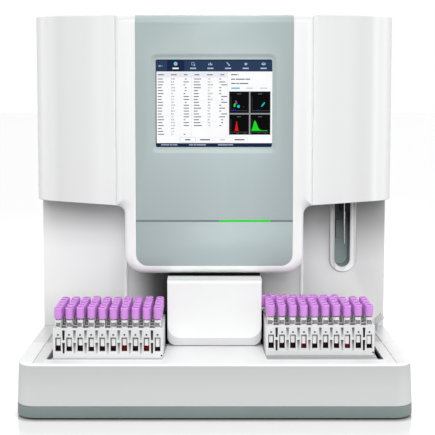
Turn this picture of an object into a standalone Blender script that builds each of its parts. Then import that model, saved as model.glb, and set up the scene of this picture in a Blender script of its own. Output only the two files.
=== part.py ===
"""Bench-top blood cell analyzer with a two-bay rack loader, built as separate solids.

The frame is metres, +X to the right as seen from the front, +Y to the back and +Z up. The origin is
on the bench under the middle of the analyzer. Distances behind the front of the base go through
back(), and heights above the underside of the plinth go through up().
"""
import math

import bmesh
import bpy
from mathutils import Matrix, Vector

# Clearances and cuts
seat_gap = 0.0003
seam_gap = 0.0005
overrun = 0.010

# Base: plinth, housing of the loader, feet
total_depth = 0.755
foot_height = 0.004
foot_radius = 0.020
foot_inset = 0.060
base_half_width = 0.382
base_corner = 0.040
plinth_height = 0.0217
rim_height = 0.103
shell_draft = 0.0035
rim_edge = 0.004
housing_wall = 0.004
housing_deck = 0.006

# Rack bays, and the lane that joins them behind the centre cover
rim_side_width = 0.055
bay_front = 0.037
bay_taper = 0.005
bay_end_gap = 0.0005
slot_width = 0.0105
lane_width = 0.0245
tray_thickness = 0.0075
tray_groove_depth = 0.0030
tray_groove_width = 0.006
pusher_length = 0.016
pusher_thickness = 0.007
pusher_drop = 0.003
pusher_start = 0.0015

# Racks and their tubes
rack_length = 0.213
rack_depth = 0.022
rack_height = 0.060
rack_pitch = 0.023
rack_end_gap = 0.003
left_rack_start = 0.041
right_rack_start = 0.0635
left_rack_count = 5
right_rack_count = 4
lane_rack_shift = 0.055
lane_clearance = 0.0005
tube_count = 10
tube_pitch = 0.0214
tube_radius = 0.0065
tube_show = 0.0165
tube_sink = 0.005
cap_radius = 0.008
cap_height = 0.0225
cap_edge = 0.0012
tube_sides = 8

# Centre cover over the sampling place
cover_side_gap = 0.0004
cover_front = 0.125
cover_rear = 0.178
cover_top = 0.240
cover_wall = 0.003
cover_edge = 0.012
cover_edge_steps = 4
cover_face_inset = 0.0015
cover_face_corner = 0.022
cover_foot_corner = 0.010
cover_chamfer_height = 0.019

# Body: side panels, lower front panels, rear panel, top cover, inner sheets
body_half_width = 0.376
body_top = 0.777
body_front = 0.305
sheet = 0.003
skin = 0.004
tunnel_side_gap = 0.005
shelf_height = 0.430
wing_bottom_outer = 0.393

# Front doors, which are the wings beside the console
door_width = 0.173
door_seam_depth = 0.190
door_corner = 0.040
door_hinge_depth = 0.257
door_bottom = 0.385
door_slope_rise = 0.008
door_skin = 0.0035
door_flange_depth = 0.018
door_flange_wall = 0.004
hinge_radius = 0.003

# Console that stands out in the middle
console_front = 0.170
console_step = 0.018
console_bottom = 0.244
console_corner = 0.040
console_edge = 0.018
console_wall = 0.008
console_front_wall = 0.006
console_edge_steps = 4
panel_border = 0.024
panel_bottom = 0.262
panel_corner = 0.024
panel_depth = 0.020
lower_panel_thickness = 0.006
groove_low = 0.353
groove_high = 0.357
light_length = 0.1065
light_end = 0.045
light_depth = 0.005

# Display in its recess
recess_left_margin = 0.032
recess_right_margin = 0.035
recess_top_margin = 0.081
recess_height = 0.200
recess_depth = 0.003
recess_corner = 0.004
screen_side_margin = 0.009
screen_far_margin = 0.008
screen_low_margin = 0.011
screen_high_margin = 0.0104
screen_glass_thickness = 0.0012
display_depth = 0.022

# Probe bay in the right lower panel, and the sampling drive behind the door
probe_inset = 0.0924
probe_depth = 0.280
probe_radius = 0.0015
probe_tip = 0.289
probe_point = 0.004
bezel_half_width = 0.029
bezel_bottom = 0.225
bezel_thickness = 0.003
bay_half_width = 0.017
bay_bottom = 0.235
bay_top = 0.390
round_end_share = 0.999
liner_wall = 0.003
liner_depth = 0.050
key_half_width = 0.010
key_low = 0.295
key_high = 0.335
key_thickness = 0.003
key_travel = 0.0025
key_stem_radius = 0.003
wash_half_width = 0.009
wash_low = 0.362
wash_high = 0.410
wash_front = 0.012
rail_half_width = 0.011
rail_thickness = 0.008
rail_low = 0.425
rail_top_margin = 0.022
carriage_half_width = 0.014
carriage_low = 0.450
carriage_height = 0.035
carriage_front = 0.008
probe_bore_gap = 0.0004

# Modules that the doors hide
syringe_gap = 0.0106
syringe_width = 0.050
syringe_rise = 0.045
syringe_height = 0.170
syringe_base = 0.008
syringe_radius = 0.006
syringe_count = 3
syringe_length_share = 0.9
syringe_seat_share = 0.7
manifold_side_gap = 0.013
manifold_width = 0.145
manifold_top_margin = 0.020
manifold_height = 0.100
manifold_thickness = 0.022
valve_radius = 0.010
valve_length = 0.012
valve_columns = 4
valve_rows = 3
dye_side_gap = 0.018
dye_width = 0.135
dye_rise = 0.020
dye_height = 0.105
dye_depth = 0.045
dye_wall = 0.004
dye_slots = 3

# Modules inside the body
optics_half_width = 0.110
optics_front = 0.380
optics_rear = 0.540
optics_height = 0.120
optics_lens_radius = 0.022
optics_lens_length = 0.040
board_front = 0.430
board_rear = 0.640
board_rise = 0.015
board_height = 0.180
board_thickness = 0.002
board_standoff = 0.008
board_post_radius = 0.004
board_post_inset = 0.012
supply_side_gap = 0.033
supply_width = 0.150
supply_front = 0.560
supply_height = 0.110

# Rear panel and what it holds
fan_side_gap = 0.173
fan_z = 0.560
fan_half_size = 0.060
fan_bore = 0.056
fan_depth = 0.025
fan_hub_radius = 0.020
fan_hub_length = 0.015
fan_blade_radius = 0.053
fan_blade_thickness = 0.002
fan_blade_width = 0.016
fan_blade_count = 7
fan_root_share = 0.8
fan_blade_tilt = math.radians(38)
fan_arm_width = 0.006
fan_arm_depth = 0.004
grille_slot_height = 0.007
grille_slot_pitch = 0.014
grille_slot_count = 7
inlet_from_supply = 0.060
inlet_z = 0.160
inlet_half_width = 0.024
inlet_half_height = 0.014
inlet_depth = 0.026
inlet_wall = 0.003
inlet_socket_depth = 0.016
switch_rise = 0.045
switch_half_width = 0.0105
switch_half_height = 0.007
switch_depth = 0.012
switch_crown = 0.0015
switch_swing_gap = 0.0012
switch_holder_wall = 0.003
ports_from_fan = 0.060
ports_z = 0.190
ports_half_width = 0.075
ports_half_height = 0.022
ports_recess = 0.024
nipple_radius = 0.006
nipple_length = 0.018
nipple_pitch = 0.035
nipple_count = 4
plate_thickness = 0.003

# Small clear guard behind the right bay: an upright foot and a leaning lip
guard_bay_gap = 0.0275
guard_front = 0.2535
guard_length = 0.044
guard_bend = 0.120
guard_top = 0.134
guard_lean = 0.0125
guard_thickness = 0.0025

# Places across the machine, worked out from the sizes above
bay_outer = base_half_width - rim_side_width
tray_outer = bay_outer - slot_width
rack_centre = tray_outer - rack_end_gap - rack_length / 2
bay_inner_front = rack_centre - rack_length / 2 + bay_end_gap
bay_inner_rear = bay_inner_front - bay_taper
cover_half_width = bay_inner_rear - cover_side_gap
guard_left = bay_outer + guard_bay_gap
side_inner = body_half_width - sheet
door_seam = body_half_width - door_width
console_half_width = door_seam - console_step
tunnel_half_width = console_half_width + tunnel_side_gap
panel_half_width = console_half_width - panel_border
light_right = panel_half_width - light_end
light_left = light_right - light_length
recess_left = recess_left_margin - panel_half_width
recess_right = panel_half_width - recess_right_margin
screen_left = recess_left + screen_side_margin
screen_right = recess_right - screen_far_margin
probe_x = body_half_width - probe_inset
syringe_right = probe_x - rail_half_width - syringe_gap
syringe_left = syringe_right - syringe_width
manifold_left = manifold_side_gap - side_inner
manifold_right = manifold_left + manifold_width
dye_left = dye_side_gap - side_inner
dye_right = dye_left + dye_width
supply_left = supply_side_gap - side_inner
supply_right = supply_left + supply_width
inlet_x = supply_left + inlet_from_supply
fan_x = side_inner - fan_side_gap
ports_x = fan_x - ports_from_fan

# Heights worked out from the sizes above
recess_high = body_top - recess_top_margin
recess_low = recess_high - recess_height
screen_low = recess_low + screen_low_margin
screen_high = recess_high - screen_high_margin
rail_high = body_top - rail_top_margin
syringe_low = wing_bottom_outer + syringe_rise
syringe_high = syringe_low + syringe_height
manifold_high = body_top - manifold_top_margin
manifold_low = manifold_high - manifold_height
dye_low = wing_bottom_outer + dye_rise
dye_high = dye_low + dye_height
board_low = shelf_height + board_rise
board_high = board_low + board_height
rack_floor = rim_height + seat_gap
tray_top = rim_height

# Distances from the front, worked out from the sizes above
lane_front = left_rack_start + (left_rack_count - 1) * rack_pitch + rack_depth + lane_clearance
lane_rear = lane_front + lane_width
bulkhead_front = body_front + sheet + seat_gap
bulkhead_rear = bulkhead_front + sheet
rear_inner = total_depth - sheet
cover_underside = body_top - skin
hinge_x = body_half_width - hinge_radius
chassis_top = rim_height + seat_gap + sheet

arc_steps = 6
round_sides = 20


def back(distance):
    """World Y of a place that lies this far behind the front of the base."""
    return distance - total_depth / 2


def up(height):
    """World Z of a height above the underside of the plinth."""
    return foot_height + height


def clear_scene():
    for obj in list(bpy.data.objects):
        bpy.data.objects.remove(obj, do_unlink=True)


def new_collection(name):
    collection = bpy.data.collections.new(name)
    bpy.context.scene.collection.children.link(collection)
    return collection


clear_scene()
parts = new_collection("hematology_analyzer")
cutters = new_collection("cutters")


def finish_of(name, colour, roughness, metallic=0.0, alpha=1.0):
    """A Principled material; the colour is linear RGB."""
    material = bpy.data.materials.new(name)
    material.use_nodes = True
    shader = material.node_tree.nodes["Principled BSDF"]
    shader.inputs["Base Color"].default_value = (*colour, 1.0)
    shader.inputs["Roughness"].default_value = roughness
    shader.inputs["Metallic"].default_value = metallic
    shader.inputs["Alpha"].default_value = alpha
    return material


shell_white = finish_of("shell_white", (0.83, 0.84, 0.84), 0.40)
panel_grey = finish_of("panel_grey", (0.51, 0.60, 0.60), 0.45)
plinth_grey = finish_of("plinth_grey", (0.20, 0.25, 0.24), 0.50)
rubber_black = finish_of("rubber_black", (0.02, 0.02, 0.02), 0.80)
tray_plastic = finish_of("tray_plastic", (0.45, 0.47, 0.47), 0.50)
dark_plastic = finish_of("dark_plastic", (0.03, 0.03, 0.035), 0.50)
rack_white = finish_of("rack_white", (0.80, 0.81, 0.82), 0.35)
light_green = finish_of("light_green", (0.02, 0.75, 0.04), 0.30)
screen_clear = finish_of("screen_clear", (0.05, 0.07, 0.12), 0.08)
probe_steel = finish_of("probe_steel", (0.60, 0.60, 0.62), 0.25, 1.0)
sheet_steel = finish_of("sheet_steel", (0.55, 0.56, 0.57), 0.40, 0.9)
liner_grey = finish_of("liner_grey", (0.35, 0.42, 0.42), 0.50)
clear_plastic = finish_of("clear_plastic", (0.80, 0.85, 0.87), 0.05, 0.0, 0.4)
module_grey = finish_of("module_grey", (0.30, 0.31, 0.32), 0.50)
board_green = finish_of("board_green", (0.02, 0.16, 0.06), 0.50)


def keep(obj, finish):
    """Put an object with the parts and give it its material."""
    for collection in list(obj.users_collection):
        collection.objects.unlink(obj)
    parts.objects.link(obj)
    obj.data.materials.clear()
    obj.data.materials.append(finish)
    obj.data.shade_smooth()
    obj.data.set_sharp_from_angle(angle=math.radians(35))
    return obj


def make_cutter(obj):
    """Turn an object into a hidden cutter."""
    for collection in list(obj.users_collection):
        collection.objects.unlink(obj)
    cutters.objects.link(obj)
    obj.hide_render = True
    obj.display_type = "WIRE"
    return obj


def change(target, tool, operation):
    """Cut a target with a tool, or join the tool to it."""
    make_cutter(tool)
    modifier = target.modifiers.new(tool.name, "BOOLEAN")
    modifier.operation = operation
    modifier.object = tool
    return target


def cut(target, tool):
    return change(target, tool, "DIFFERENCE")


def join(target, tool):
    return change(target, tool, "UNION")


def box(name, low, high):
    """A box between two opposite corners, with its origin in its middle."""
    low = Vector(low)
    high = Vector(high)
    bpy.ops.mesh.primitive_cube_add(size=1, location=(low + high) / 2)
    obj = bpy.context.object
    obj.name = name
    obj.scale = high - low
    bpy.ops.object.transform_apply(location=False, rotation=False, scale=True)
    return obj


def cylinder(name, centre, radius, length, axis="Z", sides=round_sides):
    """A round bar, with its origin in its middle."""
    turns = {"X": (0, math.pi / 2, 0), "Y": (math.pi / 2, 0, 0), "Z": (0, 0, 0)}
    bpy.ops.mesh.primitive_cylinder_add(
        vertices=sides, radius=radius, depth=length, location=centre, rotation=turns[axis])
    obj = bpy.context.object
    obj.name = name
    return obj


def rounded(corners, steps=arc_steps):
    """Points of a closed outline whose corners (x, y, radius) are rounded by arcs."""
    points = []
    count = len(corners)
    for index, (x, y, radius) in enumerate(corners):
        corner = Vector((x, y))
        if radius == 0:
            points.append(corner)
            continue
        before = (Vector(corners[index - 1][:2]) - corner).normalized()
        after = (Vector(corners[(index + 1) % count][:2]) - corner).normalized()
        half = before.angle(after) / 2
        centre = corner + (before + after).normalized() * (radius / math.sin(half))
        start = corner + before * (radius / math.tan(half)) - centre
        end = corner + after * (radius / math.tan(half)) - centre
        sweep = math.copysign(math.pi - 2 * half, start.x * end.y - start.y * end.x)
        for step in range(steps + 1):
            points.append(centre + Matrix.Rotation(sweep * step / steps, 2) @ start)
    return points


def inset(corners, amount):
    """The corners of an outline, drawn anticlockwise, moved inward by an amount."""
    moved = []
    count = len(corners)
    for index, (x, y, radius) in enumerate(corners):
        corner = Vector((x, y))
        into = (corner - Vector(corners[index - 1][:2])).normalized()
        onward = (Vector(corners[(index + 1) % count][:2]) - corner).normalized()
        normal_in = Vector((-into.y, into.x))
        normal_on = Vector((-onward.y, onward.x))
        shift = (normal_in + normal_on) * (amount / (1 + normal_in.dot(normal_on)))
        convex = into.x * onward.y - into.y * onward.x > 0
        moved_radius = radius - amount if convex and radius > 0 else radius
        moved.append((x + shift.x, y + shift.y, moved_radius))
    return moved


def rectangle(left, right, low, high, radius=0):
    """Corners of a rectangle, anticlockwise."""
    return [(left, low, radius), (right, low, radius), (right, high, radius), (left, high, radius)]


facings = {
    "plan": ((0, 0, 0), 2),
    "front": ((math.pi / 2, 0, 0), 1),
    "side": ((math.pi / 2, 0, math.pi / 2), 0),
}


def outline_solid(name, outlines, low, high, facing):
    """A flat outline, with any holes as further outlines, given a thickness from low to high.

    A plan outline is in X and Y, a front outline in X and Z, and a side outline in Y and Z.
    """
    curve = bpy.data.curves.new(name, "CURVE")
    curve.dimensions = "2D"
    curve.fill_mode = "BOTH"
    curve.extrude = (high - low) / 2
    for points in outlines:
        spline = curve.splines.new("POLY")
        spline.points.add(len(points) - 1)
        for spot, point in zip(spline.points, points):
            spot.co = (point[0], point[1], 0, 1)
        spline.use_cyclic_u = True
    guide = bpy.data.objects.new(name + "_outline", curve)
    rotation, thick_axis = facings[facing]
    guide.rotation_euler = rotation
    guide.location[thick_axis] = (low + high) / 2
    bpy.context.scene.collection.objects.link(guide)
    bpy.context.view_layer.update()
    mesh = bpy.data.meshes.new_from_object(guide.evaluated_get(bpy.context.evaluated_depsgraph_get()))
    weld(mesh)
    obj = bpy.data.objects.new(name, mesh)
    obj.matrix_world = guide.matrix_world
    bpy.context.scene.collection.objects.link(obj)
    bpy.data.objects.remove(guide, do_unlink=True)
    return obj


def weld(mesh):
    """Join the loose caps of a mesh made from a curve, and face everything outward."""
    work = bmesh.new()
    work.from_mesh(mesh)
    bmesh.ops.remove_doubles(work, verts=work.verts, dist=seat_gap / 10)
    bmesh.ops.recalc_face_normals(work, faces=work.faces)
    work.to_mesh(mesh)
    work.free()


def lofted_solid(name, sections, facing):
    """A closed skin through outlines of equal point counts, each given with its place."""
    work = bmesh.new()
    rings = []
    for points, place in sections:
        if facing == "plan":
            ring = [work.verts.new((point[0], point[1], place)) for point in points]
        else:
            ring = [work.verts.new((point[0], place, point[1])) for point in points]
        rings.append(ring)
    count = len(rings[0])
    for lower, upper in zip(rings, rings[1:]):
        for index in range(count):
            follow = (index + 1) % count
            work.faces.new((lower[index], lower[follow], upper[follow], upper[index]))
    work.faces.new(rings[0])
    work.faces.new(rings[-1])
    bmesh.ops.recalc_face_normals(work, faces=work.faces)
    mesh = bpy.data.meshes.new(name)
    work.to_mesh(mesh)
    work.free()
    obj = bpy.data.objects.new(name, mesh)
    bpy.context.scene.collection.objects.link(obj)
    return obj


def settled(obj):
    """The object with its modifiers applied, so that copies can share the mesh."""
    bpy.context.view_layer.update()
    mesh = bpy.data.meshes.new_from_object(obj.evaluated_get(bpy.context.evaluated_depsgraph_get()))
    obj.modifiers.clear()
    obj.data = mesh
    return obj


def move_origin(obj, place):
    """Put the origin of an object on a place, such as its joint's axis, without moving its shape."""
    bpy.context.view_layer.update()
    shift = obj.matrix_world.inverted() @ Vector(place)
    obj.data.transform(Matrix.Translation(-shift))
    obj.matrix_world = obj.matrix_world @ Matrix.Translation(shift)
    return obj


# Base


def base_corners():
    return rectangle(-base_half_width, base_half_width, back(0), back(total_depth), base_corner)


def make_plinth():
    obj = outline_solid("base_plinth", [rounded(base_corners())], up(0), up(plinth_height), "plan")
    keep(obj, plinth_grey)


def make_feet():
    """Rubber feet under the corners of the plinth."""
    for end, distance in (("front", foot_inset), ("rear", total_depth - foot_inset)):
        for hand, side in (("left", -1), ("right", 1)):
            height = foot_height - seat_gap
            place = (side * (base_half_width - foot_inset), back(distance), height / 2)
            keep(cylinder(f"foot_{end}_{hand}", place, foot_radius, height), rubber_black)


def bay_opening():
    """Outline of the opening in the housing's deck: two bays and the lane between them."""
    return [
        (-bay_outer, back(bay_front)), (-bay_inner_front, back(bay_front)),
        (-bay_inner_rear, back(lane_front)), (bay_inner_rear, back(lane_front)),
        (bay_inner_front, back(bay_front)), (bay_outer, back(bay_front)),
        (bay_outer, back(lane_rear)), (-bay_outer, back(lane_rear)),
    ]


def make_housing():
    """White shell of the loader: a drafted tray turned over, with the bays cut in its deck."""
    corners = base_corners()
    bottom = up(plinth_height) + seat_gap
    sections = [
        (rounded(corners), bottom),
        (rounded(inset(corners, shell_draft)), up(rim_height) - rim_edge),
        (rounded(inset(corners, shell_draft + rim_edge / 4)), up(rim_height) - rim_edge / 3),
        (rounded(inset(corners, shell_draft + rim_edge)), up(rim_height)),
    ]
    housing = lofted_solid("loader_housing", sections, "plan")
    hollow = rounded(inset(corners, shell_draft + housing_wall))
    cut(housing, outline_solid(
        "housing_hollow", [hollow], bottom - overrun, up(rim_height) - housing_deck, "plan"))
    cut(housing, outline_solid(
        "bay_opening", [bay_opening()], up(plinth_height) + overrun, up(rim_height) + overrun, "plan"))
    keep(housing, shell_white)


def tray_profile():
    """Side outline of a tray floor, with a groove under the middle of each rack."""
    front = back(bay_front) + seat_gap
    rear = back(lane_front) - seat_gap
    top = up(tray_top)
    points = [(front, top - tray_thickness), (rear, top - tray_thickness), (rear, top)]
    for index in reversed(range(left_rack_count)):
        middle = back(left_rack_start) + index * rack_pitch + rack_depth / 2
        near = middle - tray_groove_width / 2
        far = middle + tray_groove_width / 2
        points += [(far, top), (far, top - tray_groove_depth), (near, top - tray_groove_depth), (near, top)]
    points.append((front, top))
    return points


def make_tray(hand, side):
    """Grooved floor of a bay, beside its pusher slot."""
    ends = sorted((side * (bay_inner_rear + seat_gap), side * tray_outer))
    tray = outline_solid(f"{hand}_tray_floor", [tray_profile()], ends[0], ends[1], "side")
    wedge = [
        (side * (bay_inner_front + seat_gap), back(bay_front) - overrun),
        (side * (bay_inner_front + seat_gap), back(bay_front)),
        (side * (bay_inner_rear + seat_gap), back(lane_front)),
        (side * (bay_inner_rear - overrun), back(lane_front)),
        (side * (bay_inner_rear - overrun), back(bay_front) - overrun),
    ]
    bottom = up(tray_top) - tray_thickness
    cut(tray, outline_solid(
        f"{hand}_tray_edge", [wedge], bottom - overrun, up(tray_top) + overrun, "plan"))
    keep(tray, tray_plastic)


def make_lane_track():
    """Floor of the lane that carries a rack from one bay to the other."""
    low = (-tray_outer, back(lane_front) + seat_gap, up(tray_top) - tray_thickness)
    high = (tray_outer, back(lane_rear) - seat_gap, up(tray_top))
    track = box("lane_track", low, high)
    middle = (low[1] + high[1]) / 2
    groove = box(
        "lane_groove",
        (low[0] - overrun, middle - tray_groove_width / 2, high[2] - tray_groove_depth),
        (high[0] + overrun, middle + tray_groove_width / 2, high[2] + overrun))
    cut(track, groove)
    keep(track, dark_plastic)


def make_pusher(hand, side):
    """Finger that stands in the slot at the outer end of a bay and pushes the racks back."""
    middle = side * (bay_outer - slot_width / 2)
    low_y = back(bay_front) + pusher_start
    pusher = box(
        f"{hand}_rack_pusher",
        (middle - pusher_thickness / 2, low_y, up(plinth_height) + seat_gap),
        (middle + pusher_thickness / 2, low_y + pusher_length, up(rim_height) - pusher_drop))
    keep(pusher, dark_plastic)


def make_guard():
    """Small bent clear plate on the deck behind the right bay; its lip leans outwards."""
    foot = up(rim_height) + seat_gap
    outline = [
        (guard_left, foot), (guard_left + guard_thickness, foot),
        (guard_left + guard_thickness, up(guard_bend)),
        (guard_left + guard_thickness + guard_lean, up(guard_top)),
        (guard_left + guard_lean, up(guard_top)), (guard_left, up(guard_bend)),
    ]
    guard = outline_solid(
        "clear_guard", [outline], back(guard_front), back(guard_front) + guard_length, "front")
    keep(guard, clear_plastic)


# Racks


def tube_solid(name, x):
    """One capped tube as a turned profile, from its cap down to a foot sunk in the rack."""
    shoulder = rack_height + tube_show
    top = shoulder + cap_height
    profile = [
        (0, top), (cap_radius - cap_edge, top), (cap_radius, top - cap_edge),
        (cap_radius, shoulder), (tube_radius, shoulder),
        (tube_radius, rack_height - tube_sink), (0, rack_height - tube_sink),
    ]
    mesh = bpy.data.meshes.new(name)
    work = bmesh.new()
    spots = [work.verts.new((radius, 0, height)) for radius, height in profile]
    for upper, lower in zip(spots, spots[1:]):
        work.edges.new((upper, lower))
    work.to_mesh(mesh)
    work.free()
    obj = bpy.data.objects.new(name, mesh)
    obj.location.x = x
    bpy.context.scene.collection.objects.link(obj)
    screw = obj.modifiers.new("turn", "SCREW")
    screw.steps = tube_sides
    screw.render_steps = tube_sides
    screw.use_merge_vertices = True
    screw.merge_threshold = 0.0001
    return obj


def make_racks():
    """Ten racks of ten tubes: five stand in the left bay, four in the right bay, one in the lane."""
    rack = box("left_rack_1", (-rack_length / 2, 0, 0), (rack_length / 2, rack_depth, rack_height))
    move_origin(rack, (0, rack_depth / 2, 0))
    rack.location = (0, 0, 0)
    for index in range(tube_count):
        x = (index - (tube_count - 1) / 2) * tube_pitch
        join(rack, tube_solid(f"tube_{index + 1}", x))
    settled(rack)
    places = [(f"left_rack_{index + 1}", -rack_centre, left_rack_start + index * rack_pitch)
              for index in range(left_rack_count)]
    places += [(f"right_rack_{index + 1}", rack_centre, right_rack_start + index * rack_pitch)
               for index in range(right_rack_count)]
    places.append(("lane_rack", rack_centre - lane_rack_shift, lane_front + lane_clearance))
    for name, x, front in places:
        obj = rack if name == rack.name else bpy.data.objects.new(name, rack.data)
        obj.location = (x, back(front) + rack_depth / 2, up(rack_floor))
        if obj is not rack:
            bpy.context.scene.collection.objects.link(obj)
        keep(obj, rack_white)


# Centre cover


def cover_sections():
    """Front outlines of the cover: the top edge rolls back while the lower edge comes down and out."""
    bottom = up(rim_height) + seat_gap
    sections = []
    for step in range(cover_edge_steps + 1):
        turn = math.pi / 2 * step / cover_edge_steps
        progress = 1 - math.cos(turn)
        half = cover_half_width - cover_face_inset * (1 - math.sin(turn))
        low = bottom + cover_chamfer_height * (1 - progress)
        high = up(cover_top) - cover_edge * (1 - math.sin(turn))
        corner = cover_face_corner + (cover_foot_corner - cover_face_corner) * progress
        outline = [(-half, low, corner), (half, low, corner), (half, high, 0), (-half, high, 0)]
        sections.append((rounded(outline), back(cover_front) + cover_edge * progress))
    sections.append((sections[-1][0], back(cover_rear)))
    return sections


def make_sampler_cover():
    """Hood over the sampling place, open at the back and below so that a rack passes behind it."""
    cover = lofted_solid("sampler_cover", cover_sections(), "front")
    bottom = up(rim_height) + seat_gap
    inside = cover_half_width - cover_wall
    rear = back(cover_rear) + overrun
    cut(cover, box(
        "cover_front_cavity",
        (-inside, back(cover_front) + cover_wall, bottom + cover_chamfer_height + cover_edge),
        (inside, rear, up(cover_top) - cover_edge)))
    cut(cover, box(
        "cover_cavity",
        (-inside, back(cover_front) + cover_edge + cover_wall, bottom - overrun),
        (inside, rear, up(cover_top) - cover_wall)))
    cut(cover, box(
        "cover_passage",
        (-cover_half_width - overrun, back(lane_front) - cover_wall, bottom - overrun),
        (cover_half_width + overrun, rear, up(cover_top) - cover_wall)))
    keep(cover, shell_white)


# Front doors and their hinges


def wing_angle():
    """Angle of the wing's straight sweep, which touches its corner arc."""
    centre_x = body_half_width - door_corner
    reach_x = centre_x - door_seam
    reach_y = door_hinge_depth - door_seam_depth
    distance = math.hypot(reach_x, reach_y)
    return math.atan2(reach_y, reach_x) - math.asin(door_corner / distance)


def wing_path(depth_in, start_x, end_gap, side):
    """Plan points from near the seam to near the hinge, on a line this far inside the wing's face."""
    angle = wing_angle()
    centre = Vector((body_half_width - door_corner, back(door_hinge_depth)))
    radius = door_corner - depth_in
    start_y = back(door_seam_depth) + depth_in / math.cos(angle) + (start_x - door_seam) * math.tan(angle)
    points = [Vector((start_x, start_y))]
    first = angle - math.pi / 2
    last = -math.asin(end_gap / radius)
    for step in range(arc_steps + 1):
        turn = first + (last - first) * step / arc_steps
        points.append(centre + Vector((math.cos(turn), math.sin(turn))) * radius)
    return [Vector((side * point.x, point.y)) for point in points]


def slope_bottom(obj, side):
    """Raise the lower edge of a door towards its outer end."""
    bpy.context.view_layer.update()
    mesh = obj.data
    middle = (up(door_bottom) + up(body_top)) / 2
    inverse = obj.matrix_world.inverted()
    for vertex in mesh.vertices:
        spot = obj.matrix_world @ vertex.co
        if spot.z < middle:
            share = (side * spot.x - door_seam) / (body_half_width - door_seam)
            spot.z += door_slope_rise * share
            vertex.co = inverse @ spot


def make_door(hand, side):
    """A swept pan with a flange all round, hinged at its outer edge."""
    end_gap = hinge_radius + seam_gap
    start = door_seam + seam_gap
    outer = wing_path(0, start, end_gap, side)
    inner = wing_path(door_flange_depth, start, end_gap, side)
    door = outline_solid(
        f"{hand}_front_door", [outer + inner[::-1]], up(door_bottom), up(body_top), "plan")
    slope_bottom(door, side)
    start += door_flange_wall
    end_gap += door_flange_wall
    face = wing_path(door_skin, start, end_gap, side)
    past = wing_path(door_flange_depth + overrun, start, end_gap, side)
    hollow = outline_solid(
        f"{hand}_door_hollow", [face + past[::-1]],
        up(door_bottom) + door_flange_wall, up(body_top) - door_flange_wall, "plan")
    slope_bottom(hollow, side)
    move_origin(door, (side * hinge_x, back(door_hinge_depth), up(door_bottom)))
    cut(door, hollow)
    keep(door, shell_white)


def make_door_hinge(hand, side):
    """Full-height hinge barrel between a door and its side panel."""
    low = up(wing_bottom_outer)
    high = up(cover_underside) - seat_gap
    place = (side * hinge_x, back(door_hinge_depth), (low + high) / 2)
    keep(cylinder(f"{hand}_door_hinge", place, hinge_radius - seat_gap / 3, high - low, "Z", 16), shell_white)


# Body panels


def make_side_panel(hand, side):
    """Side panel, stepped where the wing stands out over the base."""
    front = back(body_front) + sheet + seat_gap
    upper_front = back(door_hinge_depth) + hinge_radius + seam_gap
    bottom = up(rim_height) + seat_gap
    top = up(cover_underside) - seat_gap
    profile = [
        (front, bottom), (back(total_depth), bottom), (back(total_depth), top),
        (upper_front, top), (upper_front, up(wing_bottom_outer)), (front, up(wing_bottom_outer)),
    ]
    ends = sorted((side * side_inner, side * body_half_width))
    keep(outline_solid(f"{hand}_side_panel", [profile], ends[0], ends[1], "side"), shell_white)


def bay_outline(half_width, bottom, top):
    """Front outline with a half-round lower end, as the probe bay has."""
    return rounded([
        (probe_x - half_width, bottom, half_width * round_end_share),
        (probe_x + half_width, bottom, half_width * round_end_share),
        (probe_x + half_width, top, 0), (probe_x - half_width, top, 0),
    ])


def liner_hole():
    """Hole in a wall through which the liner of the probe bay passes."""
    margin = liner_wall + seat_gap
    return bay_outline(bay_half_width + margin, up(bay_bottom) - margin, up(bay_top) + seat_gap)


def make_lower_panel(hand, side):
    """White wall below a wing; the right one is cut for the probe bay."""
    ends = sorted((side * tunnel_half_width, side * body_half_width))
    bottom = up(rim_height) + seat_gap
    outlines = [rounded(rectangle(ends[0], ends[1], bottom, up(wing_bottom_outer) - seat_gap))]
    if side > 0:
        outlines.append(liner_hole())
    front = back(body_front)
    keep(outline_solid(f"{hand}_lower_panel", outlines, front, front + sheet, "front"), shell_white)


def make_bulkhead():
    """Steel sheet behind the lower wall and the doors, which carries the modules."""
    edge = side_inner - seat_gap
    outline = rounded(rectangle(-edge, edge, up(chassis_top) + seat_gap, up(cover_underside) - seat_gap))
    sheet_solid = outline_solid(
        "inner_bulkhead", [outline, liner_hole()], back(bulkhead_front), back(bulkhead_rear), "front")
    keep(sheet_solid, sheet_steel)


def make_tunnel_wall():
    """Wall at the back of the tunnel, between the lower panels."""
    half = tunnel_half_width - seat_gap
    keep(box(
        "tunnel_back_wall",
        (-half, back(body_front), up(rim_height) + seat_gap),
        (half, back(body_front) + sheet, up(console_bottom) + console_edge)), tray_plastic)


def make_sheets():
    """Chassis deck under the modules, and the shelf half way up."""
    edge = side_inner - seat_gap
    low = up(rim_height) + seat_gap
    front = back(bulkhead_front)
    rear = back(rear_inner) - seat_gap
    keep(box("chassis_deck", (-edge, front, low), (edge, rear, low + sheet)), sheet_steel)
    front = back(bulkhead_rear) + seat_gap
    low = up(shelf_height)
    keep(box("mid_shelf", (-edge, front, low), (edge, rear, low + sheet)), sheet_steel)


def make_top_cover():
    """Flat cover, which fits behind the console and inside the doors."""
    clearance = door_flange_depth + seam_gap
    right = wing_path(clearance, door_seam + seam_gap, hinge_radius + seam_gap, 1)
    left = wing_path(clearance, door_seam + seam_gap, hinge_radius + seam_gap, -1)
    front = back(body_front)
    edge_front = back(door_hinge_depth) + hinge_radius + seam_gap
    points = [(-door_seam - seam_gap, front), (door_seam + seam_gap, front)]
    points += right
    points += [(side_inner - seat_gap, edge_front), (body_half_width, edge_front)]
    points += [(body_half_width, back(total_depth)), (-body_half_width, back(total_depth))]
    points += [(-body_half_width, edge_front), (-side_inner + seat_gap, edge_front)]
    points += left[::-1]
    keep(outline_solid("top_cover", [points], up(cover_underside), up(body_top), "plan"), shell_white)


# Console


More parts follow.
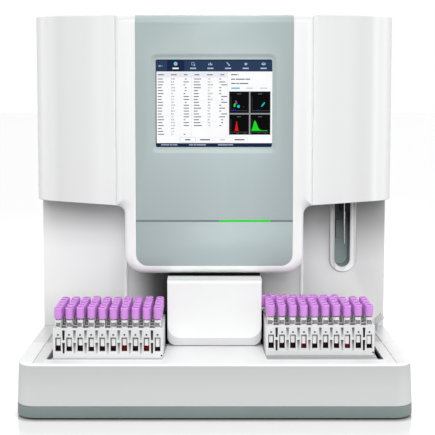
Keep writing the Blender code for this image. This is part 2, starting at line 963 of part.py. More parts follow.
def console_corners():
    """Front outline of the console, which widens to the seams of the doors above."""
    return [
        (-console_half_width, up(console_bottom), console_corner),
        (console_half_width, up(console_bottom), console_corner),
        (console_half_width, up(door_bottom), console_step),
        (door_seam, up(door_bottom), 0),
        (door_seam, up(body_top), 0),
        (-door_seam, up(body_top), 0),
        (-door_seam, up(door_bottom), 0),
        (-console_half_width, up(door_bottom), console_step),
    ]


def make_console_frame():
    """White shell of the console with a rolled front edge and a window for the front panels."""
    corners = console_corners()
    sections = []
    for step in range(console_edge_steps + 1):
        turn = math.pi / 2 * step / console_edge_steps
        narrower = console_edge * (1 - math.sin(turn))
        place = back(console_front) + console_edge * (1 - math.cos(turn))
        sections.append((rounded(inset(corners, narrower)), place))
    sections.append((rounded(corners), back(body_front) - seat_gap))
    frame = lofted_solid("console_frame", sections, "front")
    hollow = rounded(inset(corners, console_wall))
    cut(frame, outline_solid(
        "console_hollow", [hollow],
        back(console_front) + console_front_wall, back(body_front) + overrun, "front"))
    half = panel_half_width + seat_gap
    window = rounded([
        (-half, up(panel_bottom) - seat_gap, panel_corner), (half, up(panel_bottom) - seat_gap, panel_corner),
        (half, up(body_top) + overrun, 0), (-half, up(body_top) + overrun, 0),
    ])
    cut(frame, outline_solid(
        "console_window", [window],
        back(console_front) - overrun, back(console_front) + panel_depth + seat_gap, "front"))
    keep(frame, shell_white)


def make_upper_panel():
    """Grey panel round the display, rolled back at its top edge."""
    front = back(console_front)
    profile = [
        (front, up(groove_high), 0), (front + panel_depth, up(groove_high), 0),
        (front + panel_depth, up(body_top), 0), (front, up(body_top), console_edge),
    ]
    panel = outline_solid(
        "upper_front_panel", [rounded(profile)], -panel_half_width, panel_half_width, "side")
    window = rounded(rectangle(recess_left, recess_right, up(recess_low), up(recess_high), recess_corner), 3)
    cut(panel, outline_solid(
        "display_window", [window], front - overrun, front + panel_depth + overrun, "front"))
    keep(panel, panel_grey)


def make_lower_console_panel():
    """Grey panel below the groove, with rounded lower corners."""
    outline = rounded([
        (-panel_half_width, up(panel_bottom), panel_corner),
        (panel_half_width, up(panel_bottom), panel_corner),
        (panel_half_width, up(groove_low), 0), (-panel_half_width, up(groove_low), 0),
    ])
    front = back(console_front)
    keep(outline_solid(
        "lower_front_panel", [outline], front, front + lower_panel_thickness, "front"), panel_grey)


def make_light_bar():
    """Status light in the groove between the two front panels."""
    front = back(console_front) + seam_gap
    keep(box(
        "status_light_bar",
        (light_left, front, up(groove_low) + seat_gap),
        (light_right, front + light_depth, up(groove_high) - seat_gap)), light_green)


def make_display():
    """Display module in the window of the upper panel, and the glass in its pocket."""
    front = back(console_front) + recess_depth
    outline = rounded(rectangle(
        recess_left + seat_gap, recess_right - seat_gap,
        up(recess_low) + seat_gap, up(recess_high) - seat_gap, recess_corner), 3)
    module = outline_solid("display_module", [outline], front, front + display_depth, "front")
    pocket = screen_glass_thickness + seat_gap
    cut(module, box(
        "glass_pocket", (screen_left, front - overrun, up(screen_low)),
        (screen_right, front + pocket, up(screen_high))))
    keep(module, panel_grey)
    keep(box(
        "screen_glass",
        (screen_left + seat_gap, front, up(screen_low) + seat_gap),
        (screen_right - seat_gap, front + screen_glass_thickness, up(screen_high) - seat_gap)), screen_clear)


# Probe bay and sampling drive


def make_probe_bay():
    """Bezel ring on the wall, and the hollow liner behind it."""
    wall_front = back(body_front)
    ring = outline_solid(
        "probe_bay_bezel",
        [bay_outline(bezel_half_width, up(bezel_bottom), up(bay_top)),
         bay_outline(bay_half_width, up(bay_bottom), up(bay_top) - liner_wall)],
        wall_front - bezel_thickness - seat_gap, wall_front - seat_gap, "front")
    keep(ring, shell_white)
    liner = outline_solid(
        "probe_bay_liner",
        [bay_outline(bay_half_width + liner_wall, up(bay_bottom) - liner_wall, up(bay_top))],
        wall_front, wall_front + liner_depth, "front")
    cut(liner, outline_solid(
        "liner_pocket", [bay_outline(bay_half_width, up(bay_bottom), up(bay_top) - liner_wall)],
        wall_front - overrun, wall_front + liner_depth - liner_wall, "front"))
    key_z = up((key_low + key_high) / 2)
    cut(liner, cylinder(
        "key_bore", (probe_x, wall_front + liner_depth, key_z), key_stem_radius + seat_gap, overrun, "Y"))
    keep(liner, liner_grey)


def make_aspirate_key():
    """Key plate behind the probe, with a stem through the back of the liner."""
    stop = back(body_front) + liner_depth - liner_wall
    rear = stop - key_travel - seat_gap
    key = box(
        "aspirate_key",
        (probe_x - key_half_width, rear - key_thickness, up(key_low)),
        (probe_x + key_half_width, rear, up(key_high)))
    stem_length = key_travel + liner_wall + key_thickness
    stem_middle = rear - key_thickness / 2 + stem_length / 2
    place = (probe_x, stem_middle, up((key_low + key_high) / 2))
    join(key, cylinder("key_stem", place, key_stem_radius, stem_length, "Y", 16))
    keep(key, module_grey)


def make_probe():
    """Steel probe with its carriage, which slides on the rail."""
    y = back(probe_depth)
    rail_front = back(bulkhead_front) - rail_thickness - seat_gap
    carriage = box(
        "sample_probe",
        (probe_x - carriage_half_width, y - carriage_front, up(carriage_low)),
        (probe_x + carriage_half_width, rail_front - seat_gap, up(carriage_low + carriage_height)))
    rod_top = up(carriage_low) + carriage_height / 2
    rod_low = up(probe_tip) + probe_point
    taper_length = probe_point + probe_radius
    join(carriage, cylinder(
        "probe_rod", (probe_x, y, (rod_top + rod_low) / 2), probe_radius, rod_top - rod_low, "Z", 12))
    bpy.ops.mesh.primitive_cone_add(
        vertices=12, radius1=probe_radius / 4, radius2=probe_radius, depth=taper_length,
        location=(probe_x, y, up(probe_tip) + taper_length / 2))
    tip = bpy.context.object
    tip.name = "probe_taper"
    join(carriage, tip)
    keep(carriage, probe_steel)


def make_probe_rail():
    """Upright rail of the sampling drive, on the bulkhead."""
    rear = back(bulkhead_front) - seat_gap
    keep(box(
        "probe_rail",
        (probe_x - rail_half_width, rear - rail_thickness, up(rail_low)),
        (probe_x + rail_half_width, rear, up(rail_high))), sheet_steel)


def make_wash_block():
    """Block through which the probe passes to be rinsed; it stands out from the wall."""
    y = back(probe_depth)
    block = box(
        "probe_wash_block",
        (probe_x - wash_half_width, y - wash_front, up(wash_low)),
        (probe_x + wash_half_width, back(body_front) - bezel_thickness - seat_gap * 2, up(wash_high)))
    height = wash_high - wash_low
    cut(block, cylinder(
        "wash_bore", (probe_x, y, up((wash_low + wash_high) / 2)), probe_radius + probe_bore_gap,
        height + 2 * overrun, "Z", 12))
    keep(block, module_grey)


# Modules behind the doors


def make_syringe_bank():
    """Three syringe drives on a base plate, behind the right door."""
    rear = back(bulkhead_front) - seat_gap
    bank = box(
        "syringe_bank", (syringe_left, rear - syringe_base, up(syringe_low)),
        (syringe_right, rear, up(syringe_high)))
    pitch = (syringe_right - syringe_left) / syringe_count
    for index in range(syringe_count):
        x = syringe_left + pitch * (index + 1 / 2)
        length = syringe_height * syringe_length_share
        y = rear - syringe_base - syringe_radius * syringe_seat_share
        place = (x, y, up((syringe_low + syringe_high) / 2))
        join(bank, cylinder(f"syringe_{index + 1}", place, syringe_radius, length, "Z", 12))
    keep(bank, module_grey)


def make_valve_manifold():
    """Block of pinch valves, behind the left door."""
    rear = back(bulkhead_front) - seat_gap
    block = box(
        "valve_manifold", (manifold_left, rear - manifold_thickness, up(manifold_low)),
        (manifold_right, rear, up(manifold_high)))
    for row in range(valve_rows):
        for column in range(valve_columns):
            x = manifold_left + (manifold_right - manifold_left) * (column + 1 / 2) / valve_columns
            z = up(manifold_low + (manifold_high - manifold_low) * (row + 1 / 2) / valve_rows)
            place = (x, rear - manifold_thickness, z)
            join(block, cylinder(
                f"valve_{row + 1}_{column + 1}", place, valve_radius, valve_length * 2, "Y", 10))
    keep(block, module_grey)


def make_dye_holder():
    """Open-fronted holder for dye cartridges, behind the left door."""
    rear = back(bulkhead_front) - seat_gap
    front = rear - dye_depth
    holder = box("dye_holder", (dye_left, front, up(dye_low)), (dye_right, rear, up(dye_high)))
    pitch = (dye_right - dye_left - dye_wall) / dye_slots
    for index in range(dye_slots):
        left = dye_left + dye_wall + index * pitch
        cut(holder, box(
            f"dye_slot_{index + 1}",
            (left, front - overrun, up(dye_low) + dye_wall),
            (left + pitch - dye_wall, rear - dye_wall, up(dye_high) - dye_wall)))
    keep(holder, tray_plastic)


# Modules inside the body


def make_optical_module():
    """Flow-cell housing with its laser tube, on the shelf."""
    low = up(shelf_height) + sheet + seat_gap
    module = box(
        "optical_module", (-optics_half_width, back(optics_front), low),
        (optics_half_width, back(optics_rear), low + optics_height))
    place = (0, back(optics_rear) + optics_lens_length / 2, low + optics_height / 2)
    join(module, cylinder(
        "laser_tube", place, optics_lens_radius, optics_lens_length + optics_lens_radius, "Y"))
    keep(module, module_grey)


def make_control_board():
    """Circuit board on four posts, on the left side panel."""
    wall = -side_inner + seat_gap
    face = wall + board_standoff
    board = box(
        "control_board", (face, back(board_front), up(board_low)),
        (face + board_thickness, back(board_rear), up(board_high)))
    for y in (board_front + board_post_inset, board_rear - board_post_inset):
        for z in (board_low + board_post_inset, board_high - board_post_inset):
            length = board_standoff + board_thickness / 2
            place = (wall + length / 2, back(y), up(z))
            join(board, cylinder(f"board_post_{y:.3f}_{z:.3f}", place, board_post_radius, length, "X", 12))
    keep(board, board_green)


def make_power_supply():
    """Boxed supply on the chassis deck, in front of the power inlet."""
    low = up(chassis_top) + seat_gap
    rear = back(rear_inner) - inlet_depth - seat_gap
    keep(box(
        "power_supply", (supply_left, back(supply_front), low),
        (supply_right, rear, low + supply_height)), sheet_steel)


# Rear panel and what it holds


def make_rear_panel():
    """Rear sheet with a slotted fan grille and cut-outs for inlet, switch and connectors."""
    edge = side_inner - seat_gap
    outlines = [rounded(rectangle(
        -edge, edge, up(rim_height) + seat_gap, up(cover_underside) - seat_gap))]
    for index in range(grille_slot_count):
        offset = (index - (grille_slot_count - 1) / 2) * grille_slot_pitch
        half = math.sqrt(fan_bore ** 2 - offset ** 2)
        low = up(fan_z) + offset - grille_slot_height / 2
        outlines.append(rounded(rectangle(fan_x - half, fan_x + half, low, low + grille_slot_height)))
    for x, z, half_x, half_z in (
            (inlet_x, inlet_z, inlet_half_width, inlet_half_height),
            (inlet_x, inlet_z + switch_rise, switch_hole_x(), switch_hole_z()),
            (ports_x, ports_z, ports_half_width, ports_half_height)):
        reach_x = half_x + seat_gap
        reach_z = half_z + seat_gap
        hole = rectangle(x - reach_x, x + reach_x, up(z) - reach_z, up(z) + reach_z)
        outlines.append(rounded(hole))
    keep(outline_solid("rear_panel", outlines, back(rear_inner), back(total_depth), "front"), shell_white)


def switch_hole_x():
    return switch_half_width + seat_gap


def switch_hole_z():
    return switch_half_height + switch_swing_gap


def make_fan():
    """Fan frame on the rear panel, with arms that carry the rotor on its middle pin."""
    rear = back(rear_inner) - seat_gap
    front = rear - fan_depth
    half = fan_half_size
    z = up(fan_z)
    frame = box("fan_frame", (fan_x - half, front, z - half), (fan_x + half, rear, z + half))
    cut(frame, cylinder(
        "fan_bore_cut", (fan_x, (front + rear) / 2, z), fan_bore, fan_depth + 2 * overrun, "Y", 32))
    arm = fan_arm_width / 2
    reach = fan_bore + (fan_half_size - fan_bore) / 2
    arm_rear = front + fan_arm_depth
    join(frame, box("fan_arm_across", (fan_x - reach, front, z - arm), (fan_x + reach, arm_rear, z + arm)))
    join(frame, box("fan_arm_upright", (fan_x - arm, front, z - reach), (fan_x + arm, arm_rear, z + reach)))
    keep(frame, dark_plastic)
    hub_front = front + fan_arm_depth + seat_gap
    hub_middle = hub_front + fan_hub_length / 2
    rotor = cylinder("fan_rotor", (fan_x, hub_middle, z), fan_hub_radius, fan_hub_length, "Y", 20)
    inner = fan_hub_radius * fan_root_share
    for index in range(fan_blade_count):
        blade = box(
            f"blade_{index + 1}", (inner, -fan_blade_width / 2, -fan_blade_thickness / 2),
            (fan_blade_radius, fan_blade_width / 2, fan_blade_thickness / 2))
        move_origin(blade, (0, 0, 0))
        spin = Matrix.Rotation(math.tau * index / fan_blade_count, 4, "Y")
        tilt = Matrix.Rotation(fan_blade_tilt, 4, "X")
        blade.matrix_world = Matrix.Translation((fan_x, hub_middle, z)) @ spin @ tilt
        join(rotor, blade)
    keep(rotor, dark_plastic)


def make_power_inlet():
    """Mains inlet in the rear panel, with its socket and two blades left out, and the switch holder."""
    rear = back(total_depth)
    front = rear - inlet_depth
    z = up(inlet_z)
    top = z + switch_rise + switch_hole_z() + switch_holder_wall
    inlet = box(
        "power_inlet", (inlet_x - inlet_half_width, front, z - inlet_half_height),
        (inlet_x + inlet_half_width, rear, z + inlet_half_height))
    bridge_rear = back(rear_inner) - seat_gap
    join(inlet, box(
        "switch_holder", (inlet_x - inlet_half_width, front, z),
        (inlet_x + inlet_half_width, bridge_rear, top)))
    half_x = inlet_half_width - inlet_wall
    half_z = inlet_half_height - inlet_wall
    cut(inlet, box(
        "inlet_socket",
        (inlet_x - half_x, rear - inlet_socket_depth, z - half_z),
        (inlet_x + half_x, rear + overrun, z + half_z)))
    switch_z = z + switch_rise
    pocket_front = rear - switch_depth - switch_swing_gap - seat_gap
    cut(inlet, box(
        "switch_pocket",
        (inlet_x - switch_hole_x(), pocket_front, switch_z - switch_hole_z()),
        (inlet_x + switch_hole_x(), rear + overrun, switch_z + switch_hole_z())))
    keep(inlet, dark_plastic)


def make_power_switch():
    """Rocker of the power switch, which tilts about an axle across its middle."""
    z = up(inlet_z) + switch_rise
    rear = back(total_depth)
    half = switch_half_height
    front = rear - switch_depth
    side_profile = [
        (front + half, z - half), (rear - switch_crown, z - half),
        (rear - switch_crown * 2, z), (rear - switch_crown, z + half), (front + half, z + half),
        (front, z + half / 2), (front, z - half / 2),
    ]
    rocker = outline_solid(
        "power_switch", [side_profile], inlet_x - switch_half_width, inlet_x + switch_half_width, "side")
    move_origin(rocker, (inlet_x, rear - switch_depth / 2, z))
    keep(rocker, dark_plastic)


def make_fluid_connectors():
    """Recessed plate with the hose nipples for reagents and waste."""
    rear = back(total_depth)
    plate_rear = rear - ports_recess
    z = up(ports_z)
    tray = box(
        "fluid_connectors",
        (ports_x - ports_half_width, plate_rear - plate_thickness, z - ports_half_height),
        (ports_x + ports_half_width, rear, z + ports_half_height))
    half_x = ports_half_width - plate_thickness
    half_z = ports_half_height - plate_thickness
    cut(tray, box(
        "ports_hollow",
        (ports_x - half_x, plate_rear, z - half_z),
        (ports_x + half_x, rear + overrun, z + half_z)))
    for index in range(nipple_count):
        x = ports_x + (index - (nipple_count - 1) / 2) * nipple_pitch
        place = (x, plate_rear + nipple_length / 2 - plate_thickness / 2, z)
        join(tray, cylinder(
            f"nipple_{index + 1}", place, nipple_radius, nipple_length + plate_thickness, "Y", 12))
    keep(tray, tray_plastic)


make_plinth()
make_feet()
make_housing()
make_lane_track()
make_guard()
make_racks()
make_sampler_cover()
for hand_name, hand_side in (("left", -1), ("right", 1)):
    make_tray(hand_name, hand_side)
    make_pusher(hand_name, hand_side)
    make_door(hand_name, hand_side)
    make_door_hinge(hand_name, hand_side)
    make_side_panel(hand_name, hand_side)
    make_lower_panel(hand_name, hand_side)
make_bulkhead()
make_tunnel_wall()
make_sheets()
make_top_cover()
make_console_frame()
make_upper_panel()
make_lower_console_panel()
make_light_bar()
make_display()
make_probe_bay()
make_aspirate_key()
make_probe()
make_probe_rail()
make_wash_block()
make_syringe_bank()
make_valve_manifold()
make_dye_holder()
make_optical_module()
make_control_board()
make_power_supply()
make_rear_panel()
make_fan()
make_power_inlet()
make_power_switch()
make_fluid_connectors()
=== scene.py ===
import math
import random

import bmesh
import bpy
from mathutils import Matrix, Vector


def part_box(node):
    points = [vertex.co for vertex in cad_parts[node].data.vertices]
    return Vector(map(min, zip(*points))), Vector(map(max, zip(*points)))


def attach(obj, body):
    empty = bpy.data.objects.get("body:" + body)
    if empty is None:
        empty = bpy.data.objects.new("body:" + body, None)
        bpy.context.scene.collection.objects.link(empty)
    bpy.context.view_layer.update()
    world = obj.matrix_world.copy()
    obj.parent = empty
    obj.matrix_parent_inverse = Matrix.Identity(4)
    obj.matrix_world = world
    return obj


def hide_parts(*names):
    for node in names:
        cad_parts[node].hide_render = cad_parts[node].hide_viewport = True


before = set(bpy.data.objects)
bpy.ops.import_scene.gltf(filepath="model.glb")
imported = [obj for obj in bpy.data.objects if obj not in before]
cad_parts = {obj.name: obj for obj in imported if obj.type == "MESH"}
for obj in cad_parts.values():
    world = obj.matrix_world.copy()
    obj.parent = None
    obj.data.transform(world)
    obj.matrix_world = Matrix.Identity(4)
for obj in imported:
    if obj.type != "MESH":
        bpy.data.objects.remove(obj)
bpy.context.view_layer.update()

# Sizes of the machine, in metres, as in the part's source
seat_gap = 0.0003
seam_gap = 0.0005
overrun = 0.010
total_depth = 0.755
foot_height = 0.004
base_half_width = 0.382
base_corner = 0.040
plinth_height = 0.0217
rim_height = 0.103
shell_draft = 0.0035
rim_edge = 0.004
housing_wall = 0.004
housing_deck = 0.006
bay_outer = 0.327
bay_front = 0.037
bay_inner_front = 0.101
bay_inner_rear = 0.096
lane_front = 0.1555
lane_rear = 0.180
rack_length = 0.213
rack_depth = 0.022
rack_height = 0.060
tube_count = 10
tube_pitch = 0.0214
tube_show = 0.0165
cover_half_width = 0.0956
cover_front = 0.125
cover_rear = 0.178
cover_top = 0.240
cover_wall = 0.003
cover_edge = 0.012
cover_face_corner = 0.026
cover_roll = 0.007
cover_foot_corner = 0.017
cover_chamfer_height = 0.019
body_half_width = 0.376
body_top = 0.777
body_front = 0.305
door_seam = 0.203
door_seam_depth = 0.190
door_corner = 0.040
door_hinge_depth = 0.257
door_bottom = 0.385
door_slope_rise = 0.008
door_skin = 0.0035
door_flange_depth = 0.018
door_flange_wall = 0.004
hinge_radius = 0.003
console_front = 0.170
console_half_width = 0.185
console_step = 0.018
console_bottom = 0.244
console_corner = 0.040
console_edge = 0.018
console_wall = 0.008
panel_half_width = 0.161
panel_bottom = 0.262
panel_corner = 0.024
panel_depth = 0.020
groove_low = 0.353
groove_high = 0.357
light_left = 0.0095
light_right = 0.116
recess_left = -0.129
recess_right = 0.126
recess_low = 0.496
recess_high = 0.696
recess_depth = 0.003
screen_left = -0.120
screen_right = 0.118
screen_low = 0.507
screen_high = 0.6856
probe_x = 0.2836
bezel_half_width = 0.029
bezel_bottom = 0.225
bay_half_width = 0.017
bay_bottom = 0.235
bay_top = 0.390
liner_depth = 0.050

# Sizes of the dress alone
groove_width = 0.0008
deck_seam = 0.166
ledge_inner = 0.3285
screw_radius = 0.0034
hollow_reach = 0.002
hollow_inner = 0.0076
recess_corner = 0.012
page_step = 0.00003

arc_steps = 14
roll_steps = 12
sides = (("left", -1), ("right", 1))


def back(distance):
    """World Y of a place that lies this far behind the front of the base."""
    return distance - total_depth / 2


def up(height):
    """World Z of a height above the underside of the plinth."""
    return foot_height + height


def span(side, near, far):
    """Two places on one side of the middle, the lower first."""
    return sorted((side * near, side * far))


# Outlines


def around(ring):
    """The index of each point of a ring with the index of the next."""
    return [(index, (index + 1) % len(ring)) for index in range(len(ring))]


def rounded(corners, steps=arc_steps):
    """Points of a closed outline whose corners (x, y, radius) are rounded by arcs."""
    points = []
    for index, follow in around(corners):
        x, y, radius = corners[index]
        corner = Vector((x, y))
        if radius == 0:
            points.append(corner)
            continue
        before = (Vector(corners[index - 1][:2]) - corner).normalized()
        after = (Vector(corners[follow][:2]) - corner).normalized()
        half = before.angle(after) / 2
        centre = corner + (before + after).normalized() * (radius / math.sin(half))
        start = corner + before * (radius / math.tan(half)) - centre
        end = corner + after * (radius / math.tan(half)) - centre
        sweep = math.copysign(math.pi - 2 * half, start.x * end.y - start.y * end.x)
        points += [centre + Matrix.Rotation(sweep * step / steps, 2) @ start for step in range(steps + 1)]
    return points


def inset(corners, amount):
    """The corners of an outline, drawn anticlockwise, moved inward by an amount."""
    moved = []
    for index, follow in around(corners):
        x, y, radius = corners[index]
        corner = Vector((x, y))
        into = (corner - Vector(corners[index - 1][:2])).normalized()
        onward = (Vector(corners[follow][:2]) - corner).normalized()
        normal_in = Vector((-into.y, into.x))
        normal_on = Vector((-onward.y, onward.x))
        shift = (normal_in + normal_on) * (amount / (1 + normal_in.dot(normal_on)))
        convex = into.x * onward.y - into.y * onward.x > 0
        moved.append((x + shift.x, y + shift.y, radius - amount if convex and radius > 0 else radius))
    return moved


def rectangle(left, right, low, high, radius=0):
    """Corners of a rectangle, anticlockwise."""
    return [(left, low, radius), (right, low, radius), (right, high, radius), (left, high, radius)]


# Solids


def stand(name, data):
    obj = bpy.data.objects.new(name, data)
    bpy.context.scene.collection.objects.link(obj)
    return obj


def built(name, work, outward=True):
    """An object from a working mesh, with its faces turned outward."""
    if outward:
        bmesh.ops.recalc_face_normals(work, faces=work.faces)
    mesh = bpy.data.meshes.new(name)
    work.to_mesh(mesh)
    work.free()
    return stand(name, mesh)


def clean(mesh, distance=1e-5):
    """Join the points that fall together."""
    work = bmesh.new()
    work.from_mesh(mesh)
    bmesh.ops.remove_doubles(work, verts=work.verts, dist=distance)
    bmesh.ops.recalc_face_normals(work, faces=work.faces)
    work.to_mesh(mesh)
    work.free()


def evaluated(obj):
    """The mesh of an object with its modifiers applied, or of a curve with its thickness."""
    bpy.context.view_layer.update()
    return bpy.data.meshes.new_from_object(obj.evaluated_get(bpy.context.evaluated_depsgraph_get()))


facings = {
    "plan": Matrix.Identity(4),
    "front": Matrix.Rotation(math.pi / 2, 4, "X"),
    "side": Matrix.Rotation(math.pi / 2, 4, "Z") @ Matrix.Rotation(math.pi / 2, 4, "X"),
}
thick_axes = {"plan": 2, "front": 1, "side": 0}


def slab(name, outlines, low, high, facing="plan"):
    """A flat outline, with any holes as further outlines, given a thickness from low to high."""
    curve = bpy.data.curves.new(name, "CURVE")
    curve.dimensions = "2D"
    curve.fill_mode = "BOTH"
    curve.extrude = (high - low) / 2
    for points in outlines:
        spline = curve.splines.new("POLY")
        spline.points.add(len(points) - 1)
        for spot, point in zip(spline.points, points):
            spot.co = (*point, 0, 1)
        spline.use_cyclic_u = True
    guide = stand(name + "_outline", curve)
    mesh = evaluated(guide)
    bpy.data.objects.remove(guide, do_unlink=True)
    mesh.transform(facings[facing])
    middle = Vector((0, 0, 0))
    middle[thick_axes[facing]] = (low + high) / 2
    mesh.transform(Matrix.Translation(middle))
    clean(mesh)
    return stand(name, mesh)


def loft(name, sections, facing, capped=True):
    """A skin through outlines of equal point counts, each given with its place."""
    work = bmesh.new()
    rings = [[work.verts.new((x, y, place) if facing == "plan" else (x, place, y)) for x, y in points]
             for points, place in sections]
    joins = list(zip(rings, rings[1:]))
    if not capped:
        joins.append((rings[-1], rings[0]))
    for lower, upper in joins:
        for index, follow in around(lower):
            work.faces.new((lower[index], lower[follow], upper[follow], upper[index]))
    if capped:
        work.faces.new(rings[0])
        work.faces.new(rings[-1])
    return built(name, work)


def block(name, low, high):
    """A box between two opposite corners."""
    corners = rounded(rectangle(low[0], high[0], low[1], high[1]))
    return loft(name, [(corners, low[2]), (corners, high[2])], "plan")


def boxes(name, corners):
    """Several boxes in one object."""
    work = bmesh.new()
    for low, high in corners:
        middle = (Vector(low) + Vector(high)) / 2
        size = Vector(high) - Vector(low)
        for vertex in bmesh.ops.create_cube(work, size=1.0)["verts"]:
            vertex.co = Vector(axis * share for axis, share in zip(vertex.co, size)) + middle
    return built(name, work, outward=False)


def settle(obj):
    """Apply the modifiers of an object."""
    mesh = evaluated(obj)
    obj.modifiers.clear()
    obj.data = mesh
    return obj


def soften(obj, width, segments=3, angle=40):
    """Round the sharp edges of a solid."""
    bevel = obj.modifiers.new("edge", "BEVEL")
    bevel.width = width
    bevel.segments = segments
    bevel.limit_method = "ANGLE"
    bevel.angle_limit = math.radians(angle)
    bevel.use_clamp_overlap = True
    return settle(obj)


def cut(obj, tool):
    modifier = obj.modifiers.new("change", "BOOLEAN")
    modifier.operation = "DIFFERENCE"
    modifier.object = tool
    settle(obj)
    bpy.data.objects.remove(tool, do_unlink=True)


def placed(centre, across, along, height, axis):
    offsets = {"Z": (across, along, height), "Y": (across, height, along), "X": (height, across, along)}
    return Vector(centre) + Vector(offsets[axis])


def lathe(work, profile, centre, count, axis):
    """Turn a profile of (radius, height) or (radius, height, rib) about an axis through a centre.

    A rib notches every second side of its ring.
    """
    rings = []
    for radius, height, *ribs in profile:
        spots = []
        for side in range(count if radius else 1):
            turn = math.tau * side / count
            reach = radius - (sum(ribs) if side % 2 else 0.0)
            spots.append(work.verts.new(
                placed(centre, reach * math.cos(turn), reach * math.sin(turn), height, axis)))
        rings.append(spots)
    for lower, upper in zip(rings, rings[1:]):
        for side in range(count):
            follow = (side + 1) % count
            if len(lower) == 1:
                work.faces.new((lower[0], upper[side], upper[follow]))
            elif len(upper) == 1:
                work.faces.new((lower[side], lower[follow], upper[0]))
            else:
                work.faces.new((lower[side], lower[follow], upper[follow], upper[side]))


def turned(name, shapes, count, axis="Z"):
    """One object with a turned shape for each profile and centre."""
    work = bmesh.new()
    for profile, centre in shapes:
        lathe(work, profile, centre, count, axis)
    return built(name, work)


def turned_at(name, profile, centres, count, axis="Z"):
    """One object with the same turned shape at each centre."""
    return turned(name, [(profile, centre) for centre in centres], count, axis)


def prism(work, near, far):
    """A closed solid between two outlines of equal point counts."""
    near, far = ([work.verts.new(point) for point in points] for points in (near, far))
    work.faces.new(near)
    work.faces.new(far[::-1])
    for index, follow in around(near):
        work.faces.new((near[follow], near[index], far[index], far[follow]))


def tiles(name, shapes, front, thickness):
    """Thin plates facing forward: rectangles (left, right, low, high) or lists of points."""
    work = bmesh.new()
    for shape in shapes:
        if isinstance(shape, tuple):
            shape = [corner[:2] for corner in rectangle(*shape)]
        prism(work, *([(x, y, z) for x, z in shape] for y in (front, front + thickness)))
    return built(name, work)


def arc_strips(name, strips, radius, thickness):
    """Thin curved strips round upright tubes: (x, first angle, last angle, low, high), front at -90 degrees."""
    work = bmesh.new()
    for x, first, last, low, high in strips:
        steps = max(2, int(abs(last - first) / 8))
        columns = []
        for step in range(steps + 1):
            turn = math.radians(first + (last - first) * step / steps)
            columns.append([
                work.verts.new((x + reach * math.cos(turn), reach * math.sin(turn), height))
                for reach in (radius, radius + thickness) for height in (low, high)])
        for one, two in zip(columns, columns[1:]):
            for a, b in ((0, 1), (1, 3), (3, 2), (2, 0)):
                work.faces.new((one[a], one[b], two[b], two[a]))
        for spots in (columns[0], columns[-1]):
            work.faces.new((spots[0], spots[1], spots[3], spots[2]))
    return built(name, work)


def copy_of(node, name, bevel=0.0006, segments=2):
    """The shape of a CAD node with its facets joined and its edges rounded."""
    work = bmesh.new()
    work.from_mesh(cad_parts[node].data)
    bmesh.ops.remove_doubles(work, verts=work.verts, dist=1e-6)
    bmesh.ops.dissolve_limit(work, angle_limit=math.radians(0.5), verts=work.verts, edges=work.edges)
    return soften(built(name, work, outward=False), bevel, segments)


def seat_of(node):
    """The corners of a CAD node's box, and the middle of its underside."""
    low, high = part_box(node)
    return low, high, ((low.x + high.x) / 2, (low.y + high.y) / 2, low.z)


def dress(obj, finish, body="root", nodes=(), sharp=38, level=False):
    """Finish a piece: material, smooth shading, and the CAD body that it rides on."""
    if finish:
        obj.data.materials.clear()
        obj.data.materials.append(finishes[finish])
    obj.data.shade_smooth()
    obj.data.set_sharp_from_angle(angle=math.radians(sharp))
    if level:  # large flat faces shade as flat
        obj.modifiers.new("level", "WEIGHTED_NORMAL").keep_sharp = True
        settle(obj)
    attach(obj, body)
    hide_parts(*nodes)
    return obj


def clad(node, name, finish, bevel=0.0006, segments=2, slot=None, body="root", level=False):
    """Put a dressed copy of a CAD node in its place."""
    return dress(copy_of(node, name, bevel, segments), finish, body, [node], level=level)


def paint(obj, finish, chosen):
    """Another finish on the faces that a test of their middle and normal picks."""
    obj.data.materials.append(finishes[finish])
    index = len(obj.data.materials) - 1
    for face in obj.data.polygons:
        if chosen(face.center, face.normal):
            face.material_index = index


# Materials

finishes = {}
slots = {name: "shell_white" for name in (
    "loader_white", "console_white", "door_white", "frame_white", "wall_white", "wall_pale", "bezel_white")}
slots.update({
    "panel_low_grey": "panel_grey", "groove_teal": "panel_grey", "seal_black": "rubber_black",
    "guard_clear": "clear_plastic", "wash_black": "module_grey", "tunnel_white": "tray_plastic",
    "cartridge_white": "tray_plastic", "valve_blue": "module_grey", "brass": "probe_steel",
    "paper_white": "label_white", "ink_dark": "label_white", "ink_orange": "label_white",
    "blood_film": "blood_red"})


def add_node(tree, kind, inputs, operation=None):
    """A shader node whose inputs, by name or number, take a value or another node's output."""
    node = tree.nodes.new("ShaderNode" + kind)
    if operation:
        node.operation = operation
    for key, value in inputs.items():
        if isinstance(value, bpy.types.NodeSocket):
            tree.links.new(value, node.inputs[key])
        else:
            node.inputs[key].default_value = value
    return node.outputs


def linear(*screen_values):
    """A colour read on screen, 0 to 255, as linear RGB."""
    shares = [value / 255 for value in screen_values]
    return tuple(share / 12.92 if share <= 0.04045 else ((share + 0.055) / 1.055) ** 2.4 for share in shares)


def shade(colour, share):
    return tuple(channel * share for channel in colour)


